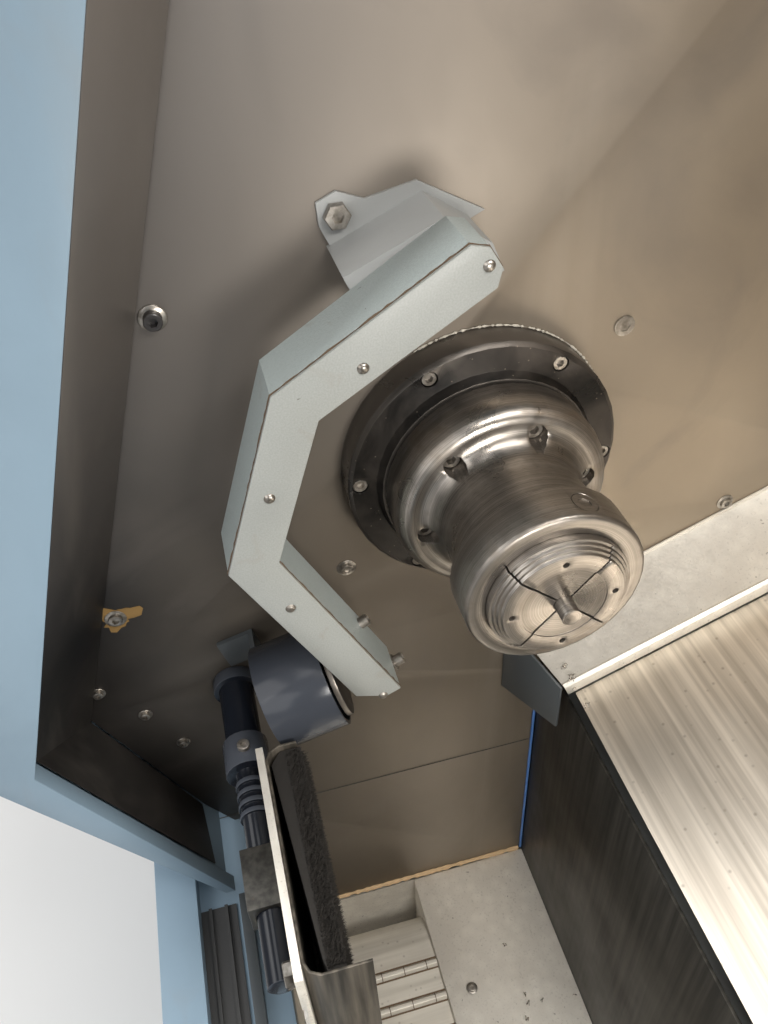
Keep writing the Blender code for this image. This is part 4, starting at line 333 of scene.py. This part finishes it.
def piece(name, work, finish, body, smooth=True):
    bmesh.ops.recalc_face_normals(work, faces=work.faces)
    mesh = bpy.data.meshes.new(name)
    work.to_mesh(mesh)
    work.free()
    obj = bpy.data.objects.new(name, mesh)
    bpy.context.scene.collection.objects.link(obj)
    mesh.materials.append(finish)
    if smooth:
        mesh.shade_smooth()
        mesh.set_sharp_from_angle(angle=SHARP)
    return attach(obj, body)


def framed(place, pole):
    """Local Z along the pole at a place measured from the spindle axis."""
    pole = Vector(pole).normalized()
    return Matrix.Translation(ORIGIN + Vector(place)) @ pole.to_track_quat("Z", "Y").to_matrix().to_4x4()


def join_rings(work, rings, steps):
    """Faces between each ring and the next; a ring of one point closes to that point."""
    for a, b in zip(rings, rings[1:]):
        for i in range(steps):
            j = (i + 1) % steps
            face = [a[i % len(a)], a[j % len(a)], b[j % len(b)], b[i % len(b)]]
            work.faces.new(list(dict.fromkeys(face)))


def spin(work, profile, matrix, steps=24):
    """Adds a turned body from its profile of (height, radius), from the top down."""
    rings = []
    for z, r in profile:
        if r < 1e-7:
            rings.append([work.verts.new(matrix @ Vector((0, 0, z)))])
            continue
        turns = [math.tau * i / steps for i in range(steps)]
        rings.append([
            work.verts.new(matrix @ Vector((r * math.cos(a), r * math.sin(a), z))) for a in turns
        ])
    join_rings(work, rings, steps)


def hexed(radius, height, socket, floor):
    """The profile of a bolt's head with a recess; spun in 6 steps it is a hexagon."""
    return [
        (floor, 0),
        (floor, socket),
        (height, socket),
        (height, radius * 0.93),
        (height * 0.9, radius),
        (0, radius),
    ]


def socket_screw(work, place, pole, radius, height):
    """A socket head: a round head with a six-sided recess."""
    matrix = framed(place, pole)
    steps = 24
    rows = []
    for z, r, sides in (
        (height * 0.35, 0, 6), (height * 0.35, radius * 0.55, 6), (height, radius * 0.55, 6),
        (height, radius * 0.90, 0), (height * 0.92, radius, 0), (0, radius, 0),
    ):
        if not r:
            rows.append([work.verts.new(matrix @ Vector((0, 0, z)))])
            continue
        ring = []
        for i in range(steps):
            a = math.tau * i / steps
            reach = r
            if sides:
                reach = r * math.cos(math.pi / 6) / math.cos((a % (math.pi / 3)) - math.pi / 6)
            ring.append(work.verts.new(matrix @ Vector((reach * math.cos(a), reach * math.sin(a), z))))
        rows.append(ring)
    join_rings(work, rows, steps)


def washer(work, place, pole, radius, height):
    profile = [(height, 0), (height, radius * 0.94), (height * 0.7, radius), (0, radius)]
    spin(work, profile, framed(place, pole))


def polar(angle, radius):
    return math.cos(math.radians(angle)) * radius, math.sin(math.radians(angle)) * radius


def wall_fasteners():
    work = bmesh.new()
    dark = bmesh.new()
    for y, z, r in ((-0.109, -0.094, 0.0052), (0.240, -0.114, 0.0050), (-0.296, -0.095, 0.0055),
                    (-0.331, -0.177, 0.0040), (-0.301, -0.218, 0.0040), (-0.278, -0.269, 0.0040)):
        washer(work, (0.0002, y, z), X, r * 1.55, 0.0009)
        socket_screw(work, (0.0010, y, z), X, r, 0.0030)
    washer(work, (0.0005, -0.092, 0.199), X, 0.0105, 0.0018)
    spin(work, hexed(0.0085, 0.0062, 0.0040, 0.0030), framed((0.0020, -0.092, 0.199), X), 6)
    washer(work, (0.0002, -0.212, 0.151), X, 0.0090, 0.0012)
    socket_screw(dark, (0.0013, -0.212, 0.151), X, 0.0060, 0.0060)
    socket_screw(work, (0.0002, 0.113, 0.086), X, 0.0080, 0.0012)
    washer(work, (0.1428, -0.0402, -0.6443), (0, 0, 1), 0.0062, 0.0008)
    socket_screw(work, (0.1428, -0.0402, -0.6436), (0, 0, 1), 0.0042, 0.0022)
    piece("wall_screws", work, SCREW, "machine")
    piece("wall_socket_screw", dark, SOCKET, "machine")


def spindle_fasteners():
    work = bmesh.new()
    for i in range(6):
        y, z = polar(11 + 60 * i, 0.060)
        socket_screw(work, (0.0563, y, z), X, 0.0066, 0.0072)
    piece("nose_screws", work, SCREW, "spindle")
    work = bmesh.new()
    y, z = polar(71, 0.0592)
    socket_screw(work, (0.144, y, z), (0, y, z), 0.0086, 0.0013)
    piece("nose_plug", work, TURNED, "spindle")
    work = bmesh.new()
    for i in range(6):
        y, z = polar(-4 + 60 * i, 0.096)
        socket_screw(work, (0.0182, y, z), X, 0.0055, 0.0058)
    piece("flange_screws", work, SCREW, "machine")


def arm_fasteners():
    work = bmesh.new()
    dome = [(0.0018, 0), (0.0017, 0.0016), (0.0011, 0.0029), (0, 0.0036)]
    for y, z in ((-0.030, 0.198), (-0.102, 0.150), (-0.165, 0.073), (-0.164, -0.023), (-0.106, -0.139)):
        spin(work, dome, framed((0.1001, y, z), X), 20)
    for x, y, z in ((0.0655, -0.1141, -0.092), (0.0665, -0.0888, -0.1447)):
        place = Vector((x, y, z))
        washer(work, place, LEG_SIDE, 0.0068, 0.0012)
        socket_screw(work, place + Vector(LEG_SIDE) * 0.0012, LEG_SIDE, 0.0046, 0.0075)
    piece("arm_screws", work, SCREW, "presetter")


def face_rim(name, inset):
    """The corners round a node's face that looks along +X, moved back by the inset."""
    work = bmesh.new()
    work.from_mesh(NODES[name].data)
    work.transform(NODES[name].matrix_world)
    bmesh.ops.remove_doubles(work, verts=work.verts, dist=0.00002)
    bmesh.ops.dissolve_limit(work, angle_limit=0.01, verts=work.verts, edges=work.edges)
    top = max(work.faces, key=lambda face: (round(face.normal.x, 3), face.calc_area()))
    points = [vert.co - ORIGIN - X * inset for vert in top.verts]
    work.free()
    return points + points[:1]


def catcher_fasteners():
    work = bmesh.new()
    socket_screw(work, (0.084, -0.219, -0.1826), (0, 0, 1), 0.0050, 0.0040)
    for x, z in ((0.158, -0.185), (0.268, -0.200)):
        spin(work, [(0.0014, 0), (0.0012, 0.0015), (0, 0.0026)], framed((x, -0.2034, z), (0, 1, 0)), 16)
    spin(work, hexed(0.0080, 0.0060, 0.0050, 0.0048), framed((0.272, -0.2090, -0.160), (0, -1, 0)), 6)
    piece("catcher_screws", work, SCREW, "parts_catcher")


def bristles():
    """Short stiff hairs on the mat's top and front, each a thin cone with three sides."""
    rng = random.Random(7)
    work = bmesh.new()
    count, mat_top = 9000, -0.1570
    for _ in range(count):
        x = rng.uniform(0.117, 0.277)
        z = rng.choice((mat_top, -0.1580 - abs(rng.gauss(0, 0.05)), rng.uniform(-0.445, -0.158)))
        top = z == mat_top
        y = rng.uniform(-0.188, -0.1765) if top else -0.1762
        base = ORIGIN + Vector((x, y, z))
        way = Vector((rng.gauss(0, 0.35), 0.5 if top else 1, 1 if top else rng.gauss(0.1, 0.3))).normalized()
        length = rng.uniform(0.003, 0.0065)
        side = way.orthogonal().normalized() * 0.00045
        other = way.cross(side)
        ring = [work.verts.new(base + side * math.cos(a) + other * math.sin(a)) for a in (0, 2.1, 4.2)]
        tip = work.verts.new(base + way * length)
        for i in range(3):
            work.faces.new((ring[i], ring[(i + 1) % 3], tip))
        work.faces.new(ring[::-1])
    piece("chute_bristles", work, BRISTLE, "parts_catcher", smooth=False)


def bead(name, points, radius, finish, body="machine", seed=1, wobble=0.35):
    """A lumpy half-round strand through the points, for lines of sealant and dirt and for painted crease
    shade.
    """
    rng = random.Random(seed)
    work = bmesh.new()
    path = []
    for a, b in zip(points, points[1:]):
        a, b = Vector(a), Vector(b)
        count = max(2, int((b - a).length / 0.004))
        path += [a.lerp(b, i / count) for i in range(count)]
    path.append(Vector(points[-1]))
    rings = []
    for i, place in enumerate(path):
        way = (path[min(i + 1, len(path) - 1)] - path[max(i - 1, 0)]).normalized()
        side = way.cross(X).normalized() if abs(way.x) < 0.9 else Vector((0, 1, 0))
        out = side.cross(way).normalized()
        size = radius * (1 + rng.uniform(-wobble, wobble))
        rings.append([
            work.verts.new(ORIGIN + place + side * size * math.cos(t) + out * size * math.sin(t))
            for t in [math.tau * k / 8 for k in range(8)]
        ])
    for a, b in zip(rings, rings[1:]):
        for k in range(8):
            work.faces.new((a[k], a[(k + 1) % 8], b[(k + 1) % 8], b[k]))
    work.faces.new(rings[0])
    work.faces.new(rings[-1][::-1])
    piece(name, work, finish, body)


def swarf():
    """Small curled chips lying in the corners; where there are many they lie far apart."""
    rng = random.Random(11)
    work = bmesh.new()
    width = 0.0009
    # Each place, with how many lie there
    spots = [
        ((0.030, -0.160, -0.204), 6),
        ((0.060, 0.095, -0.222), 5),
        ((0.20, 0.02, -0.6445), 14),
        ((0.20, 0.02, -0.6445), 8),
    ]
    for (x, y, z), count in spots:
        for _ in range(count):
            along = x + rng.gauss(0, 0.05) * (1 if count > 10 else 0.25)
            across = min(y + rng.gauss(0, 0.016), 0.068)
            centre = ORIGIN + Vector((along, across, z + 0.0012))
            turns = rng.uniform(0.8, 2.2)
            radius = rng.uniform(0.0014, 0.0030)
            start = rng.uniform(0, math.tau)
            lean = Matrix.Rotation(rng.uniform(0, math.tau), 3, "Z")
            previous = None
            for i in range(int(turns * 9)):
                a = start + math.tau * i / 9
                inner = Vector((i * 0.00035, radius * math.cos(a), radius * (1 + math.sin(a))))
                outer = inner + Vector((width, 0, 0))
                row = [work.verts.new(centre + lean @ inner), work.verts.new(centre + lean @ outer)]
                if previous:
                    work.faces.new((previous[0], previous[1], row[1], row[0]))
                previous = row
    obj = piece("swarf_chips", work, SWARF, "machine")
    shell = obj.modifiers.new("thickness", "SOLIDIFY")
    shell.thickness = 0.0002


def ring_points(centre, radius, start, end, x, count=60):
    y, z = centre
    places = [math.radians(start + (end - start) * i / count) for i in range(count + 1)]
    return [(x, y + radius * math.cos(a), z + radius * math.sin(a)) for a in places]


def sloped(x, u, n):
    """A place on the bed: u runs up its slope and n stands square to it."""
    across, up = math.cos(BED_LEAN), math.sin(BED_LEAN)
    return (x, u * across - n * up, u * up + n * across)


def add_box(work, middle, size):
    place = Matrix.Translation(ORIGIN + middle) @ Matrix.Diagonal((*size, 1))
    bmesh.ops.create_cube(work, size=1, matrix=place)


def sill_seal():
    """Dark ribbed strip in the sill's channel."""
    work = bmesh.new()
    for y0, y1, top in ((-0.3065, -0.2640, -0.4168), (-0.3055, -0.3025, -0.4135),
                        (-0.2900, -0.2870, -0.4135), (-0.2750, -0.2720, -0.4135)):
        low, high = Vector((0.0885, y0, -0.4184)), Vector((1.405, y1, top))
        add_box(work, (low + high) / 2, high - low)
    piece("sill_seal", work, RUBBER, "machine", smooth=False)


def stain():
    """A thin amber blot round one screw of the wall."""
    rng = random.Random(17)
    work = bmesh.new()
    count = 28
    screw_y, screw_z = -0.294, -0.094
    middle = work.verts.new(ORIGIN + Vector((0.0009, screw_y, screw_z)))
    ring = []
    for i in range(count):
        a = math.tau * i / count
        reach = 0.0145 * (1 + 0.35 * math.sin(3 * a + 1) + rng.uniform(-0.18, 0.18))
        y, z = screw_y + reach * math.cos(a), screw_z + 0.8 * reach * math.sin(a)
        ring.append(work.verts.new(ORIGIN + Vector((0.0002, y, z))))
    for i in range(count):
        work.faces.new((middle, ring[i], ring[(i + 1) % count]))
    work.faces.new(ring[::-1])
    piece("amber_stain", work, AMBER, "machine")


def belt_hinge_shadows():
    """Painted shadow lines beside the belt's barrels, and dark discs as painted shade in the gaps between
    their knuckles.
    """
    start, end, count = 0.0825, 0.8175, 20
    step = (end - start) / count
    front, back, top = -0.2287, -0.0688, -0.655
    knuckles, barrel = 6, 0.00465
    gap = [(0.0009, 0), (0.0009, barrel), (0, barrel), (0, 0)]
    work = bmesh.new()
    for i in range(count):
        x = end - step * (i + 0.5)
        for side in (-1, 1):
            middle = Vector((x + side * 0.0056, (front + back) / 2, top))
            add_box(work, middle, (0.0018, back - front, 0.0006))
        for k in range(knuckles):
            y = front + (back - front) * (k + 0.5) / knuckles
            spin(work, gap, framed((x, y, top), (0, 1, 0)), 16)
    piece("belt_hinge_shadows", work, DARK_RUST_AND_SHADE, "machine", smooth=False)


wall_fasteners()
spindle_fasteners()
arm_fasteners()
catcher_fasteners()
bristles()
bead("wall_base_line", [(0.0006, -0.168, -0.6425), (0.0006, 0.070, -0.6425)], 0.0028, RUST, seed=3)
sill_seal()
stain()
belt_hinge_shadows()
bead("flange_seal", ring_points((0, 0), 0.1058, 12, 116, 0.0008), 0.0006, SEALANT, seed=5, wobble=0.9)
ledge_line = [sloped(0.0010, -0.012, -0.2090), sloped(0.0010, 0.40, -0.2090)]
bead("ledge_seal", ledge_line, 0.0008, SEALANT, seed=6, wobble=0.8)
# Painted shade: a dark strand stands in for the shadow in the crease of the wall's fold.
bead("wall_fold", [(0.0003, -0.292, -0.408), (0.0003, 0.070, -0.408)], 0.0005, SHADED, seed=8, wobble=0.1)
bead("cover_seam", face_rim("presetter_cover", 0.0028), 0.00055, DARK_RUST_AND_SHADE, "presetter", seed=9, wobble=0.6)
bead("side_panel_seal", [(0.0016, 0.0725, -0.30), (0.0016, 0.0725, -0.64)], 0.0015, BLUE, seed=4, wobble=0.1)
swarf()


# Stage, lights and camera


def stage():
    floor = bmesh.new()
    bmesh.ops.create_grid(floor, x_segments=1, y_segments=1, size=30)
    mesh = bpy.data.meshes.new("floor")
    floor.to_mesh(mesh)
    floor.free()
    obj = bpy.data.objects.new("floor", mesh)
    bpy.context.scene.collection.objects.link(obj)
    p = Paint("floor_finish", 0.0, 0.7)
    obj.data.materials.append(p.finish(p.mix(p.noise(3, 4), (0.72, 0.71, 0.69), (0.76, 0.75, 0.73))))


def lamp(name, place, target, size, power, colour=(1, 1, 1)):
    light = bpy.data.lights.new(name, "AREA")
    light.shape = "RECTANGLE"
    light.size, light.size_y = size
    light.energy = power
    light.color = colour
    obj = bpy.data.objects.new(name, light)
    obj.location = ORIGIN + Vector(place)
    way = Vector(target) - Vector(place)
    obj.rotation_euler = way.to_track_quat("-Z", "Y").to_euler()
    bpy.context.scene.collection.objects.link(obj)


def lights():
    """Soft light from four sides, and three small lamps for the doorway and the work area."""
    lamp("key", (-1.2, -3.2, 2.6), (0.3, 0, -0.2), (2.5, 2.0), 60)
    lamp("fill", (3.6, -2.6, 1.6), (0.4, 0, -0.2), (2.5, 2.5), 45)
    lamp("back", (0.4, 3.4, 2.2), (0.4, 0, 0), (3.0, 2.0), 70)
    lamp("top", (0.4, -0.2, 3.4), (0.4, 0, 0), (3.0, 2.0), 60)
    lamp("doorway", (0.46, -1.05, 0.62), (0.10, 0.05, -0.15), (0.75, 0.75), 4.5, (1.0, 0.98, 0.95))
    lamp("work_light", (0.50, 0.16, 0.655), (0.22, 0.06, -0.3), (0.50, 0.12), 5.5, (1.0, 0.96, 0.91))
    lamp("pan_light", (0.66, 0.02, 0.10), (0.14, -0.04, -0.62), (0.20, 0.20), 4.0, (1.0, 0.97, 0.92))
    world = bpy.data.worlds.new("studio")
    world.use_nodes = True
    tree = world.node_tree
    ground = tree.nodes["Background"]
    # Camera and glass see a brighter world than the one that lights the machine
    path = tree.nodes.new("ShaderNodeLightPath")
    more = tree.nodes.new("ShaderNodeMath")
    more.operation = "MAXIMUM"
    tree.links.new(path.outputs["Is Camera Ray"], more.inputs[0])
    tree.links.new(path.outputs["Is Transmission Ray"], more.inputs[1])
    level = tree.nodes.new("ShaderNodeMapRange")
    level.inputs["To Min"].default_value = 0.42
    level.inputs["To Max"].default_value = 0.92
    tree.links.new(more.outputs[0], level.inputs["Value"])
    tree.links.new(level.outputs["Result"], ground.inputs["Strength"])
    ground.inputs["Color"].default_value = (0.98, 0.98, 1.0, 1)
    bpy.context.scene.world = world
    bpy.context.scene.view_settings.view_transform = "Standard"


def camera():
    """The photograph's view, solved from its straight edges and circles."""
    data = bpy.data.cameras.new("photo_view")
    data.lens = 30.009
    data.sensor_width = 36
    data.clip_start = 0.01
    obj = bpy.data.objects.new("photo_view", data)
    right = Vector((0.25109, 0.96663, -0.05080)).normalized()
    down = Vector((0.61970, -0.20084, -0.75871))
    down = (down - right * down.dot(right)).normalized()
    forward = right.cross(down)
    obj.matrix_world = Matrix.Translation(ORIGIN + Vector((0.5016, -0.1816, 0.3949))) @ Matrix(
        (right, -down, -forward)
    ).transposed().to_4x4()
    bpy.context.scene.collection.objects.link(obj)
    bpy.context.scene.camera = obj


stage()
lights()
camera()
